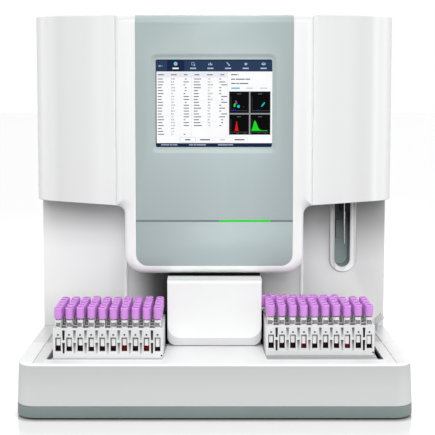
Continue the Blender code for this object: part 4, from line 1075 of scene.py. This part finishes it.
def make_sampler_cover():
    """Hood over the sampling place: its top edge rolls back while the lower edge comes down and out."""
    bottom = up(rim_height) + seat_gap
    front = back(cover_front)
    rear = back(cover_rear) + overrun
    top = up(cover_top)
    sections = []
    for step in range(roll_steps + 1):
        turn = math.pi / 2 * step / roll_steps
        progress = 1 - math.cos(turn)
        half = cover_half_width - 0.0008 * (1 - math.sin(turn))
        low = bottom + cover_chamfer_height * (1 - progress)
        short = max(0.0, cover_roll - cover_edge * progress)
        high = top - cover_roll + math.sqrt(cover_roll ** 2 - short ** 2)
        corner = cover_face_corner + (cover_foot_corner - cover_face_corner) * progress
        outline = [(-half, low, corner), (half, low, corner), (half, high, 0), (-half, high, 0)]
        sections.append((rounded(outline), front + cover_edge * progress))
    sections.append((sections[-1][0], back(cover_rear)))
    cover = loft("sampler_hood", sections, "front")
    inside = cover_half_width - cover_wall
    wide = cover_half_width + overrun
    for half, start, low, high in (
            (inside - 0.002, front + cover_wall, bottom + cover_chamfer_height + cover_edge, top - cover_edge),
            (inside, front + cover_edge + cover_wall, bottom - overrun, top - cover_wall),
            (wide, back(lane_front) - cover_wall, bottom - overrun, top - cover_wall)):
        cut(cover, block("cavity", (-half, start, low), (half, rear, high)))
    dress(cover, "console_white", body="cover", nodes=["sampler_cover"], level=True)
    band_high = bottom + cover_chamfer_height + cover_face_corner
    # Painted shade: the cover's rolled top edge darkens towards its top, under the console's lip.
    paint(cover, "grip_white", lambda place, normal: place.z > top - cover_roll and place.y < front + 0.03)
    # Painted shade: the down-facing band along the cover's lower edge is darker.
    paint(cover, "band_white", lambda place, normal: place.z < band_high and -0.9 < normal.z < -0.04
          and place.y < front + cover_edge)
    # A thin dark line along the cover's foot on the deck: painted contact shadow.
    foot = rounded([(-cover_half_width, bottom, cover_foot_corner), (cover_half_width, bottom, cover_foot_corner)]
                   + [(side * cover_half_width, bottom + 0.03, 0) for side in (1, -1)])
    outer = [spot for spot in foot if spot[1] < bottom + 0.02]
    inner = [(x * (1 - 0.0008 / cover_half_width), z + 0.0008) for x, z in outer]
    edge = front + cover_edge
    line = slab("cover_foot_shadow_line", [outer + inner[::-1]], edge - 0.0007, edge + 0.004, "front")
    dress(line, "dark_plastic", body="cover")
    # Black strips at the cover's sides: painted shadow in the narrow gaps between the cover and the racks.
    ends = [span(side, cover_half_width - 0.001, cover_half_width + 0.0044) for side in (-1, 1)]
    side_shadow_strips = boxes("cover_side_shadow_strips", [
        ((left, front + 0.016, bottom + 0.002), (right, front + 0.020, bottom + 0.070)) for left, right in ends])
    dress(soften(side_shadow_strips, 0.0008), "seal_black", body="cover")


# Front doors


def wing_path(depth_in, start_x, end_gap, side):
    """Plan points from near the seam to near the hinge, this far inside the wing's face."""
    across = body_half_width - door_corner - door_seam
    deep = door_hinge_depth - door_seam_depth
    angle = math.atan2(deep, across) - math.asin(door_corner / math.hypot(across, deep))
    centre = Vector((body_half_width - door_corner, back(door_hinge_depth)))
    radius = door_corner - depth_in
    start_y = back(door_seam_depth) + depth_in / math.cos(angle) + (start_x - door_seam) * math.tan(angle)
    points = [Vector((start_x, start_y))]
    first = angle - math.pi / 2
    last = -math.asin(end_gap / radius)
    for step in range(arc_steps + 1):
        turn = first + (last - first) * step / arc_steps
        points.append(centre + Vector((math.cos(turn), math.sin(turn))) * radius)
    return [Vector((side * point.x, point.y)) for point in points]


def wing_slab(name, side, gap, face_depth, back_depth, edge):
    """Slab between two depths of the wing, its lower edge rising towards the hinge."""
    start = door_seam + seam_gap + gap
    end_gap = hinge_radius + seam_gap + gap
    outline = wing_path(face_depth, start, end_gap, side) + wing_path(back_depth, start, end_gap, side)[::-1]
    wing = slab(name, [outline], up(door_bottom) + edge, up(body_top) - edge)
    for vertex in wing.data.vertices:
        if vertex.co.z < (up(door_bottom) + up(body_top)) / 2:
            share = (side * vertex.co.x - door_seam) / (body_half_width - door_seam)
            vertex.co.z += door_slope_rise * share
    return wing


def make_door(hand, side):
    """A swept pan with a rounded rim and a flange all round, and its hinge barrel with nine knuckles."""
    door = wing_slab(f"{hand}_door", side, 0, 0, door_flange_depth, 0)
    soften(door, 0.0022, 4, 50)
    wall = door_flange_wall
    cut(door, wing_slab("hollow", side, wall, door_skin, door_flange_depth + overrun, wall))
    # Painted highlight and shade: the doors' finish has light and dark bands across them.
    dress(door, "door_white", body=f"{hand}_door", nodes=[f"{hand}_front_door"], level=True)
    node = f"{hand}_door_hinge"
    low, high, centre = seat_of(node)
    radius = (high.x - low.x) / 2
    height = high.z - low.z
    profile = [(0, 0)]
    for index in range(9):
        start = height * index / 9
        end = height * (index + 1) / 9
        profile += [(radius - 0.0006, start), (radius, start + 0.0006),
                    (radius, end - 0.0006), (radius - 0.0006, end)]
    profile.append((0, height))
    dress(turned_at(f"{hand}_hinge_barrel", profile, [centre], 24), "shell_white", nodes=[node])


# Console


def make_console_frame():
    """White shell of the console with a rolled front edge and a window for the front panels."""
    half = [
        (console_half_width, up(console_bottom), console_corner),
        (console_half_width, up(door_bottom), console_step),
        (door_seam, up(door_bottom), 0), (door_seam, up(body_top), 0)]
    mirrored = [(-x, z, radius) for x, z, radius in half]
    corners = mirrored[:1] + half + mirrored[:0:-1]
    front = back(console_front)
    sections = []
    for step in range(roll_steps + 1):
        turn = math.pi / 2 * step / roll_steps
        narrower = console_edge * (1 - math.sin(turn))
        sections.append((rounded(inset(corners, narrower)), front + console_edge * (1 - math.cos(turn))))
    sections.append((rounded(corners), back(body_front) - seat_gap))
    shell = loft("console_shell", sections, "front")
    hollow = rounded(inset(corners, console_wall))
    cut(shell, slab("hollow", [hollow], front + 0.006, back(body_front) + overrun, "front"))
    wide = panel_half_width + seat_gap
    window = rounded([
        (-wide, up(panel_bottom) - seat_gap, panel_corner), (wide, up(panel_bottom) - seat_gap, panel_corner),
        (wide, up(body_top) + overrun, 0), (-wide, up(body_top) + overrun, 0)])
    cut(shell, slab("window", [window], front - overrun, front + panel_depth + seat_gap, "front"))
    soften(shell, 0.0007, 2, 55)
    # Painted light: the frame is lighter towards its bottom, with a faint green tint against the lavender light from
    # the caps.
    dress(shell, "frame_white", nodes=["console_frame"], sharp=30)
    # Painted light and shade: the down-facing lip is lighter at its ends, darker over the cover, and faintly green
    # against the caps' lavender light.
    paint(shell, "lip_white", lambda place, normal: normal.z < -0.35 and place.z < 0.30)
    # Painted shade: the up-facing roll of the console's top edge is darker.
    paint(shell, "roll_white", lambda place, normal: normal.z > 0.35 and place.z > up(body_top) - console_edge)
    # A near-black block between the console's lip and the cover's top: painted shadow that makes the gap black.
    gap_shade = block("cover_gap_shadow", (-cover_half_width + 0.001, front + 0.0030, up(cover_top) + 0.0006),
                 (cover_half_width - 0.001, front + 0.0230, up(console_bottom) + 0.0002))
    dress(soften(gap_shade, 0.0006), "seal_black")


def make_front_panels():
    """Grey panels above and below the status light, and the soft hollow round the screen."""
    front = back(console_front)
    profile = rounded([
        (front, up(groove_high), 0), (front + panel_depth, up(groove_high), 0),
        (front + panel_depth, up(body_top), 0), (front, up(body_top), console_edge)])
    panel = slab("upper_panel", [profile], -panel_half_width, panel_half_width, "side")
    soften(panel, 0.0007, 2, 50)
    corners = rectangle(recess_left, recess_right, up(recess_low), up(recess_high), recess_corner)
    window = rounded(inset(corners, -hollow_reach), 8)
    cut(panel, slab("window", [window], front - overrun, front + panel_depth + overrun, "front"))
    # Painted reflection: the panel is lighter right of the middle and darker towards its sides.
    dress(panel, "panel_grey", nodes=["upper_front_panel"])
    sections = [(window, front + panel_depth)]
    for step in range(roll_steps + 1):  # the wall dips in an S to the display's face
        share = step / roll_steps
        amount = -hollow_reach + (hollow_reach + hollow_inner) * share
        depth = recess_depth * (1 - math.cos(math.pi * share)) / 2
        sections.append((rounded(inset(corners, amount), 8), front + depth))
    surround = loft("display_surround", sections, "front")
    pocket = rounded(rectangle(screen_left, screen_right, up(screen_low), up(screen_high), 0.0035), 6)
    cut(surround, slab("pocket", [pocket], front - overrun, front + recess_depth + 0.0015, "front"))
    # Painted reflection, as on the upper panel.
    dress(surround, "panel_grey", nodes=["display_module"], sharp=25)
    outline = rounded([
        (-panel_half_width, up(panel_bottom), panel_corner), (panel_half_width, up(panel_bottom), panel_corner),
        (panel_half_width, up(groove_low), 0), (-panel_half_width, up(groove_low), 0)])
    panel = slab("lower_panel", [outline], front, front + 0.006, "front")
    # Painted reflection: the lower panel is lighter right of the middle and darker towards its sides.
    dress(soften(panel, 0.0006, 2), "panel_low_grey", nodes=["lower_front_panel"])
    for number, (left, right) in enumerate(((-panel_half_width, light_left), (light_right, panel_half_width))):
        strip = block(f"groove_strip_{number + 1}", (left + 0.0005, front + 0.0012, up(groove_low) + 0.0003),
                      (right - 0.0005, front + 0.0042, up(groove_high) - 0.0003))
        dress(soften(strip, 0.0003, 1), "groove_teal")
    low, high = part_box("status_light_bar")
    outline = rounded(rectangle(low.x, high.x, low.z, high.z, (high.z - low.z) * 0.49), 6)
    bar = slab("status_light", [outline], low.y, high.y, "front")
    dress(soften(bar, 0.0008, 3), "light_green", nodes=["status_light_bar"])


# Screen

screen_width = screen_right - screen_left
screen_height = screen_high - screen_low


def on_screen(across, down):
    """X and Z of a place on the screen, given as shares of its width and height from its top left."""
    return screen_left + screen_width * across, up(screen_high) - screen_height * down


def area(left, right, top, bottom):
    """A rectangle of the screen as (left, right, low, high)."""
    x0, z1 = on_screen(left, top)
    x1, z0 = on_screen(right, bottom)
    return (x0, x1, z0, z1)


def frame_lines(left, right, top, bottom, width):
    """Four thin bars round a rectangle of the screen."""
    tall = width * screen_width / screen_height
    return [area(left, right, top, top + tall), area(left, right, bottom - tall, bottom),
            area(left, left + width, top, bottom), area(right - width, right, top, bottom)]


def blob(across, down, wide, tall, turn=0.0, count=20):
    """An ellipse on the screen, as a list of points."""
    middle = Vector(on_screen(across, down))
    points = []
    for side in range(count):
        angle = math.tau * side / count
        points.append(middle + Matrix.Rotation(math.radians(turn), 2) @ Vector(
            (wide * screen_width * math.cos(angle), tall * screen_width * math.sin(angle))))
    return points


def hump(left, right, base, heights):
    """A filled curve that stands on a base line of the screen."""
    points = [on_screen(left, base), on_screen(right, base)]
    for step in reversed(range(len(heights))):
        across = left + (right - left) * step / (len(heights) - 1)
        points.append(on_screen(across, base - max(heights[step], 0.001)))
    return points


def words(left, middle, height, *lengths):
    """Short bars that stand for words, from the left."""
    bars = []
    for length in lengths:
        bars.append(area(left, left + length, middle - height / 2, middle + height / 2))
        left += length + height * 0.5
    return bars


def figures(name, entries, size, front, finish):
    """Numbers set in the plain built-in letters, as one flat piece."""
    work = bmesh.new()
    for text, across, down, align in entries:
        curve = bpy.data.curves.new(name, "FONT")
        curve.body = text
        curve.size = size
        curve.align_x = align
        curve.align_y = "CENTER"
        curve.resolution_u = 2
        curve.extrude = 0.00002
        curve.offset = 0.00006
        x, z = on_screen(across, down)
        guide = stand(name, curve)
        guide.matrix_world = Matrix.Translation((x, front, z)) @ facings["front"]
        mesh = evaluated(guide)
        mesh.transform(guide.matrix_world)
        work.from_mesh(mesh)
        bpy.data.objects.remove(guide, do_unlink=True)
        bpy.data.meshes.remove(mesh)
    bmesh.ops.remove_doubles(work, verts=work.verts, dist=1e-6)
    dress(built(name, work), finish)


screen_colours = {
    "page": (254, 254, 255), "soft": (235, 237, 243), "line": (196, 201, 210), "text": (66, 71, 84),
    "header": (40, 60, 90), "dark": (22, 38, 72), "pale": (176, 192, 214), "cyan": (20, 178, 226),
    "plot": (1, 1, 1), "border": (150, 152, 156), "axis": (92, 92, 98), "violet": (150, 62, 168),
    "green": (10, 226, 22), "sky": (0, 214, 222), "blue": (8, 10, 190), "red": (236, 20, 20)}
row_count = 20
short_rows = 17


def row_place(row):
    return 0.222 + row * 0.0332


def screen_shapes():
    """Shapes of the page by colour and layer: a generic results page with a header and four plots."""
    draw = random.Random(5)
    shapes = {}

    def add(colour, layer, *parts):
        shapes.setdefault((colour, layer), []).extend(parts)

    add("page", 1, area(0.008, 1.0, 0.137, 0.954))
    add("header", 1, area(0.004, 0.996, 0.008, 0.137))
    add("dark", 2, area(0.100, 0.247, 0.006, 0.137))
    add("dark", 1, area(0.006, 0.994, 0.954, 0.993))
    for middle in (0.172, 0.322, 0.470, 0.621, 0.772, 0.925):
        add("page" if middle == 0.172 else "pale", 3, *words(middle - 0.026, 0.101, 0.015, 0.052))
    add("pale", 3, blob(0.172, 0.049, 0.016, 0.016))
    add("sky", 4, blob(0.172, 0.047, 0.010, 0.010))
    add("pale", 3, *frame_lines(0.308, 0.332, 0.032, 0.066, 0.003), blob(0.334, 0.066, 0.006, 0.006),
        *[area(0.452 + 0.013 * bar, 0.460 + 0.013 * bar, 0.060 - 0.012 * (bar % 2 + 1), 0.066) for bar in range(3)],
        blob(0.615, 0.040, 0.008, 0.005, -35), blob(0.629, 0.062, 0.009, 0.006, -35),
        blob(0.621, 0.051, 0.013, 0.003, -50), blob(0.772, 0.052, 0.010, 0.011), area(0.782, 0.792, 0.048, 0.053),
        blob(0.925, 0.050, 0.018, 0.011),
        area(0.026, 0.045, 0.066, 0.072), area(0.026, 0.045, 0.076, 0.082), blob(0.056, 0.074, 0.004, 0.004))
    add("header", 4, area(0.916, 0.934, 0.042, 0.050))
    add("soft", 2, area(0.012, 0.615, 0.144, 0.205))
    for left, length in ((0.020, 0.052), (0.130, 0.052), (0.243, 0.030), (0.333, 0.042), (0.440, 0.050),
                         (0.556, 0.032)):
        add("text", 3, *words(left, 0.174, 0.010, length))
    for row in range(row_count):
        down = row_place(row)
        cells = [(0.018, draw.uniform(0.030, 0.055))]
        if row < short_rows or row == row_count - 1:
            cells.append((draw.choice((0.240, 0.250)), draw.choice((0.016, 0.046))))
        if row < short_rows:
            cells.append((0.327, draw.uniform(0.032, 0.070)))
            cells.append((draw.choice((0.545, 0.562)), draw.choice((0.018, 0.052))))
        for left, length in cells:
            add("text", 3, *words(left, down, 0.0095, length))
        add("soft", 2, area(0.012, 0.615, down + 0.0160, down + 0.0168))
    add("line", 2, area(0.3055, 0.3070, 0.205, 0.870), area(0.6150, 0.6165, 0.144, 0.870),
        area(0.012, 0.3055, 0.634, 0.6355), area(0.307, 0.615, 0.469, 0.4705), area(0.307, 0.615, 0.703, 0.7045))
    for down, *lengths in ((0.173, 0.052, 0.006), (0.224, 0.034, 0.078, 0.040), (0.273, 0.038, 0.022, 0.076)):
        add("text", 3, *words(0.647, down, 0.011, *lengths))
    for left, right in ((0.632, 0.742), (0.748, 0.862), (0.868, 0.983)):
        add("soft", 2, *frame_lines(left, right, 0.303, 0.348, 0.0015))
    add("cyan", 3, *words(0.648, 0.326, 0.015, 0.074))
    add("line", 3, *words(0.775, 0.326, 0.012, 0.062), *words(0.896, 0.326, 0.012, 0.062))
    add("border", 2, area(0.629, 0.986, 0.362, 0.859))
    for top, bottom in ((0.366, 0.610), (0.626, 0.855)):
        for left, right in ((0.632, 0.801), (0.813, 0.983)):
            add("plot", 3, area(left, right, top, bottom))
            add("axis", 4, area(left + 0.014, right - 0.012, bottom - 0.0280, bottom - 0.0245),
                area(left + 0.013, left + 0.0147, top + 0.050, bottom - 0.025),
                area(left + 0.066, left + 0.100, top + 0.021, top + 0.030))
    for tone, *ellipse in (
            ("violet", 0.691, 0.488, 0.0075, 0.017, 18), ("green", 0.678, 0.520, 0.0085, 0.017, -8),
            ("sky", 0.711, 0.534, 0.0110, 0.0125), ("sky", 0.922, 0.512, 0.0055, 0.025, -38),
            ("blue", 0.676, 0.574, 0.0140, 0.0075, -22), ("blue", 0.876, 0.574, 0.0120, 0.0035, 12),
            ("red", 0.754, 0.541, 0.0030, 0.0022, 20)):
        add(tone, 5, blob(*ellipse))
    add("red", 5, hump(0.668, 0.722, 0.814, [math.exp(-((step - 12) / 4.2) ** 2) * 0.112 for step in range(25)]))
    places = [step / 40 for step in range(41)]
    add("green", 5, hump(0.823, 0.960, 0.814, [
        0.112 * math.exp(-((place - 0.20) / (0.115 if place < 0.20 else 0.20)) ** 2) + 0.006 for place in places]))
    for left, right, length, edge, width, tone in (
            (0.207, 0.343, 0.046, "cyan", 0.0022, "text"), (0.357, 0.490, 0.088, "line", 0.0015, "text"),
            (0.506, 0.640, 0.042, "line", 0.0015, "line"), (0.653, 0.788, 0.086, "line", 0.0015, "text")):
        add(edge, 2, *frame_lines(left, right, 0.885, 0.944, width))
        add(tone, 3, *words((left + right) / 2 - length / 2, 0.9155, 0.013, length))
    for left, *lengths in ((0.046, 0.070, 0.022, 0.038), (0.286, 0.034, 0.020, 0.082), (0.536, 0.082, 0.042)):
        add("pale", 2, *words(left, 0.974, 0.010, *lengths))
    return shapes


def make_screen():
    """Glass of the display, with the page on it as thin layers that glow."""
    low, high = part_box("screen_glass")
    corners = rectangle(screen_left + seat_gap, screen_right - seat_gap,
                        up(screen_low) + seat_gap, up(screen_high) - seat_gap, 0.0034)
    glass = slab("screen_plate", [rounded(corners, 6)], low.y, high.y, "front")
    lit("screen_edge", linear(16, 22, 34), 0.6)
    dress(soften(glass, 0.0003, 2), "screen_edge", nodes=["screen_glass"])
    for tone, colour in screen_colours.items():
        lit(f"screen_{tone}", linear(*colour), 1.0)
    for (tone, layer), parts in sorted(screen_shapes().items()):
        piece = tiles(f"page_{tone}_{layer}", parts, low.y - layer * page_step, page_step * 0.9)
        dress(piece, f"screen_{tone}")
    draw = random.Random(9)
    numbers = []
    for row in range(row_count):
        numbers.append((f"{draw.uniform(0.1, 99):.{draw.choice((1, 2))}f}", 0.131, row_place(row), "LEFT"))
        if row < short_rows:
            numbers.append((f"{draw.uniform(0.1, 600):.{draw.choice((0, 1, 2))}f}", 0.446, row_place(row), "LEFT"))
    figures("page_results", numbers, 0.0038, low.y - 3 * page_step, "screen_text")
    scales = [(number, across, 0.8415, "CENTER") for number, across in
              (("0", 0.643), ("100", 0.702), ("200", 0.768), ("0", 0.824), ("15", 0.884), ("30", 0.942))]
    figures("page_scales", scales, 0.0030, low.y - 5 * page_step, "screen_axis")


# Body


def fasten(name, spots, axis, outward, radius=screw_radius):
    """Countersunk screws with a crossed recess, on a face that looks along an axis."""
    height = radius * 0.35 * outward
    dip = height * 0.25
    profile = [(0, -height), (radius, -height), (radius, height * 0.3), (radius * 0.86, height * 0.75),
               (radius * 0.55, height), (radius * 0.38, height), (radius * 0.30, dip), (0, dip)]
    dress(turned_at(name, profile, spots, 20, axis), "probe_steel")


def make_side_panel(hand, side):
    """Side panel with its seams, screws and a field of blind vent slots."""
    node = f"{hand}_side_panel"
    panel = copy_of(node, f"{hand}_side", 0.0010, 3)
    ends = span(side, body_half_width - groove_width, body_half_width + overrun)
    seam(panel, back(0.520), back(0.5208), up(0.103), up(0.790), *ends, "side")
    seam(panel, back(0.300), back(0.5204), up(0.3955), up(0.3963), *ends, "side")
    vents = [(back(0.556 + column * 0.084), up(0.150 + row * 0.012)) for row in range(9) for column in range(2)]
    near, far = span(side, body_half_width - 0.0020, body_half_width + overrun)
    cut(panel, boxes("vents", [((near, y, z), (far, y + 0.072, z + 0.0045)) for y, z in vents]))
    dress(panel, "shell_white", nodes=[node], level=True)
    near, far = span(side, body_half_width - 0.0019, body_half_width - 0.0016)
    dress(boxes(f"{hand}_vent_backs", [
        ((near, y + 0.0002, z + 0.0002), (far, y + 0.0718, z + 0.0043)) for y, z in vents]), "dark_plastic")
    fasten(f"{hand}_side_screws", [(side * body_half_width, back(distance), up(height)) for distance, height in (
        (0.740, 0.125), (0.740, 0.440), (0.740, 0.755), (0.535, 0.125), (0.535, 0.755),
        (0.320, 0.125), (0.320, 0.375))], "X", side)


def make_top_cover():
    """Top with the seams of its lid and its screws."""
    top = copy_of("top_cover", "top_lid", 0.0012, 3)
    for left, right, first, last in (
            (-0.330, 0.330, 0.330, 0.3308), (-0.330, 0.330, 0.720, 0.7208),
            (-0.330, -0.3292, 0.330, 0.7208), (0.3292, 0.330, 0.330, 0.7208)):
        seam(top, left, right, back(first), back(last), up(body_top) - groove_width, up(body_top) + overrun)
    dress(top, "shell_white", nodes=["top_cover"], level=True)
    spots = [(x, back(y), up(body_top)) for x in (-0.352, 0.352) for y in (0.350, 0.700)]
    spots += [(x, back(0.738), up(body_top)) for x in (-0.180, 0.0, 0.180)]
    fasten("top_screws", spots, "Z", 1)


def make_lower_walls():
    """Walls under the wings, each with a rounded bead along the tunnel's edge."""
    front = back(body_front)
    for hand, side in sides:
        # Painted shade on the walls: darker towards the top, under the wings; the right wall darker overall.
        clad(f"{hand}_lower_panel", f"{hand}_lower_wall", "wall_white" if side < 0 else "wall_pale")
        left, right = span(side, 0.1903, 0.1968)
        profile = rounded([(left, front - 0.0028, 0.0026), (right, front - 0.0028, 0.0026),
                           (right, front - 0.0001, 0), (left, front - 0.0001, 0)], 8)
        bead = slab(f"{hand}_tunnel_bead", [profile], up(rim_height) + seat_gap, up(door_bottom) - 0.001)
        dress(bead, "console_white")


def bay_outline(half_width, bottom, top=up(bay_top)):
    """Front outline with a half-round lower end, as the probe bay has."""
    left, right = probe_x - half_width, probe_x + half_width
    radius = half_width * 0.999
    return rounded([(left, bottom, radius), (right, bottom, radius), (right, top, 0), (left, top, 0)])


def make_probe_bay():
    """Funnel-shaped bezel on the wall, and the liner that it leads into."""
    wall = back(body_front)
    sections = []
    for share, depth in ((0.0, -0.0003), (0.0, -0.0022), (0.03, -0.0029), (0.08, -0.0033), (0.15, -0.0033),
                         (0.22, -0.0030), (0.45, -0.0012), (0.75, 0.0012), (0.93, 0.0026), (1.0, 0.0040)):
        half = bezel_half_width - (bezel_half_width - bay_half_width) * share
        bottom = up(bezel_bottom + (bay_bottom - bezel_bottom) * share)
        sections.append((bay_outline(half, bottom), wall + depth))
    inner = bay_outline(bay_half_width + 0.0028, up(bay_bottom) - 0.0028)
    sections += [(inner, wall + 0.0040), (inner, wall - 0.0003)]
    ring = loft("bay_bezel", sections, "front", capped=False)
    # Painted light and shade: the bezel is grey on its left side and bright on its right.
    dress(ring, "bezel_white", nodes=["probe_bay_bezel"], sharp=50)
    # A thin grey ring round the bezel: painted shadow line along its outer edge.
    rim = [bay_outline(bezel_half_width + more, up(bezel_bottom) - more) for more in (0.0012, 0)]
    dress(slab("bezel_shadow_ring", rim, wall - 0.0006, wall - 0.0001, "front"), "module_grey")
    liner = slab("bay_liner", [bay_outline(bay_half_width + 0.003, up(bay_bottom) - 0.003)],
                 wall + 0.0042, wall + liner_depth, "front")
    cut(liner, slab("pocket", [bay_outline(bay_half_width, up(bay_bottom), up(bay_top) - 0.003)],
                    wall - overrun, wall + liner_depth - 0.003, "front"))
    key_place = (probe_x, wall + liner_depth, up(0.315))
    cut(liner, turned_at("key_bore", bore(0.0033, -0.01, 0.01), [key_place], 24, "Y"))
    # Painted shade: the liner darkens upwards into the bay.
    dress(liner, "liner_grey", nodes=["probe_bay_liner"])


# Hardware of the modules


def make_sampling_trim():
    """Screws of the probe's rail, and the rinse tube of its wash block."""
    low, high, centre = seat_of("probe_rail")
    spots = [(centre[0], low.y, low.z + (high.z - low.z) * share) for share in (0.04, 0.5, 0.96)]
    fasten("slide_screws", spots, "Y", -1, 0.0030)
    low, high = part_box("probe_wash_block")
    tube = bore(0.0009, low.z - 0.001, high.z)
    dress(turned_at("rinse_tube", tube, [(probe_x - 0.0023, low.y - 0.0004, 0)], 16), "probe_steel")


def make_syringe_trim():
    """Scale rings, nuts and brass heads of the syringes."""
    low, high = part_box("syringe_bank")
    y = high.y - 0.008 - 0.006 * 0.7
    feet = [(low.x + (high.x - low.x) / 3 * (index + 0.5), y, low.z + 0.0095) for index in range(3)]
    rings = [(x, y, low.z + 0.030 + step * 0.008) for x, y, z in feet for step in range(14)]
    ring = [(0.0060, 0), (0.00625, 0.0003), (0.00625, 0.0009), (0.0060, 0.0012)]
    dress(turned_at("syringe_scales", ring, rings, 20), "ink_dark")
    nut = [(0.0060, 0), (0.0068, 0.0006), (0.0068, 0.0075), (0.0060, 0.0081)]
    dress(turned_at("syringe_nuts", nut, feet, 6), "probe_steel")
    dress(turned_at("syringe_heads", nut, [(x, y, high.z - 0.0175) for x, y, z in feet], 20), "brass")


def make_valve_trim():
    """Caps of the valve coils, each with a small screw."""
    low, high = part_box("valve_manifold")
    face = high.y - 0.022 - 0.012
    spots = [(low.x + (high.x - low.x) * (column + 0.5) / 4, face, low.z + (high.z - low.z) * (row + 0.5) / 3)
             for row in range(3) for column in range(4)]
    cap = [(0, -0.0016), (0.0070, -0.0016), (0.0084, -0.0008), (0.0084, 0.0004), (0, 0.0004)]
    dress(turned_at("valve_caps", cap, spots, 24, "Y"), "valve_blue")
    fasten("valve_screws", [(x, y - 0.0016, z) for x, y, z in spots], "Y", -1, 0.0022)


def make_dyes():
    """Dye cartridges with coloured labels."""
    low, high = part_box("dye_holder")
    pitch = (high.x - low.x - 0.004) / 3
    bottom = low.z + 0.0042
    for index, tone in enumerate(((0.05, 0.16, 0.45), (0.30, 0.06, 0.32), (0.05, 0.35, 0.28))):
        left = low.x + 0.004 + index * pitch + 0.0012
        right = left + pitch - 0.004 - 0.0024
        outline = rounded(rectangle(left, right, bottom, high.z - 0.009, 0.006), 6)
        cartridge = slab(f"dye_cartridge_{index + 1}", [outline], low.y + 0.004, high.y - 0.0045, "front")
        dress(soften(cartridge, 0.0020, 3), "cartridge_white")
        label = tiles(f"dye_label_{index + 1}", [(left + 0.004, right - 0.004, bottom + 0.018, bottom + 0.052)],
                      low.y + 0.0038, 0.0002)
        moulded(f"dye_tone_{index + 1}", tone, 0.4, 0.1)
        dress(label, f"dye_tone_{index + 1}")


def make_chips():
    """Chips on the control board."""
    low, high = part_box("control_board")
    draw = random.Random(3)
    chips = []
    for index in range(26):
        y = draw.uniform(low.y + 0.012, high.y - 0.032)
        z = draw.uniform(low.z + 0.012, high.z - 0.026)
        wide, tall = draw.choice(((0.006, 0.004), (0.012, 0.012), (0.018, 0.008), (0.004, 0.009)))
        chips.append(((high.x, y, z), (high.x + draw.choice((0.0015, 0.003, 0.006)), y + wide, z + tall)))
    dress(soften(boxes("board_chips", chips), 0.0002, 1), "dark_plastic")


def hoop(name, profile, centre, count):
    """A turned ring along Y whose profile closes on itself."""
    ring = turned_at(name, profile + profile[:1], [centre], count, "Y")
    clean(ring.data)
    return ring


def make_rear_trim():
    """Screws of the rear panel and fan, pins of the inlet, and marks of the rocker."""
    rear = back(total_depth)
    spots = [(x, rear, up(z)) for x in (-0.360, 0.360) for z in (0.120, 0.330, 0.545, 0.755)]
    spots += [(x, rear, up(z)) for x in (-0.120, 0.120) for z in (0.120, 0.755)]
    fasten("rear_screws", spots, "Y", 1)
    low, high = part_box("fan_frame")
    spots = [(x, rear, z) for x in (low.x + 0.0075, high.x - 0.0075) for z in (low.z + 0.0075, high.z - 0.0075)]
    fasten("fan_screws", spots, "Y", 1, 0.0036)
    low, high, (x, y, z) = seat_of("power_inlet")
    front = rear - 0.016
    pins = [(x + across, z + rise) for across, rise in ((-0.007, 0.012), (0.007, 0.012), (0.0, 0.017))]
    pins = boxes("inlet_pins", [
        ((left - 0.001, front - 0.001, low - 0.002), (left + 0.001, front + 0.012, low + 0.002)) for left, low in pins])
    dress(soften(pins, 0.0003, 2), "probe_steel")
    low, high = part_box("power_switch")
    middle = (low.z + high.z) / 2
    mark = tiles("switch_mark_on", [(x - 0.0004, x + 0.0004, middle + 0.0025, middle + 0.0053)],
                 high.y - 0.0008, 0.0009)
    ring = [(0.0009, -0.0004), (0.0014, -0.0004), (0.0014, 0.00005), (0.0009, 0.00005)]
    for piece in (mark, hoop("switch_mark_off", ring, (x, high.y, middle - 0.0040), 20)):
        dress(piece, "paper_white", "rocker")


def make_hose_ports():
    """Barbed hose nipples with coloured collars."""
    low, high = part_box("fluid_connectors")
    plate = back(total_depth) - 0.024
    barb = [(0.0030, plate), (0.0062, plate)]
    for step in range(5):
        start = plate + 0.0042 + step * 0.0026
        barb += [(0.0050, start), (0.0064, start + 0.0003), (0.0056, start + 0.0022)]
    barb += [(0.0046, plate + 0.0196), (0.0030, plate + 0.0196)]
    collar = [(0.0060, plate), (0.0092, plate), (0.0098, plate + 0.0006), (0.0098, plate + 0.0030),
              (0.0092, plate + 0.0036), (0.0060, plate + 0.0036)]
    for index, tone in enumerate(((0.03, 0.10, 0.50), (0.45, 0.03, 0.03), (0.50, 0.38, 0.03), (0.04, 0.32, 0.10))):
        centre = ((low.x + high.x) / 2 + (index - 1.5) * 0.035, 0, (low.z + high.z) / 2)
        dress(hoop(f"hose_nipple_{index + 1}", barb, centre, 28), "cartridge_white")
        moulded(f"collar_tone_{index + 1}", tone, 0.4, 0.1)
        dress(hoop(f"hose_collar_{index + 1}", collar, centre, 28), f"collar_tone_{index + 1}")


def make_inner_sheets():
    """Three sheets keep their CAD shape, with a better material and screws on the bulkhead."""
    for node in ("inner_bulkhead", "chassis_deck", "mid_shelf"):
        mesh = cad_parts[node].data
        mesh.materials.clear()
        mesh.materials.append(finishes["sheet_steel"])
    low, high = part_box("inner_bulkhead")
    spots = [(x, low.y, z) for x in (-0.360, 0.360) for z in (up(0.410), up(0.580), up(0.755))]
    fasten("bulkhead_screws", spots, "Y", -1, 0.0030)


make_base()
make_trim()
make_racks()
make_sampler_cover()
for hand, side in sides:
    make_door(hand, side)
    make_side_panel(hand, side)
make_console_frame()
make_front_panels()
make_screen()
make_top_cover()
make_lower_walls()
make_probe_bay()
make_sampling_trim()
make_inner_sheets()
make_syringe_trim()
make_valve_trim()
make_dyes()
make_chips()
make_rear_trim()
make_hose_ports()
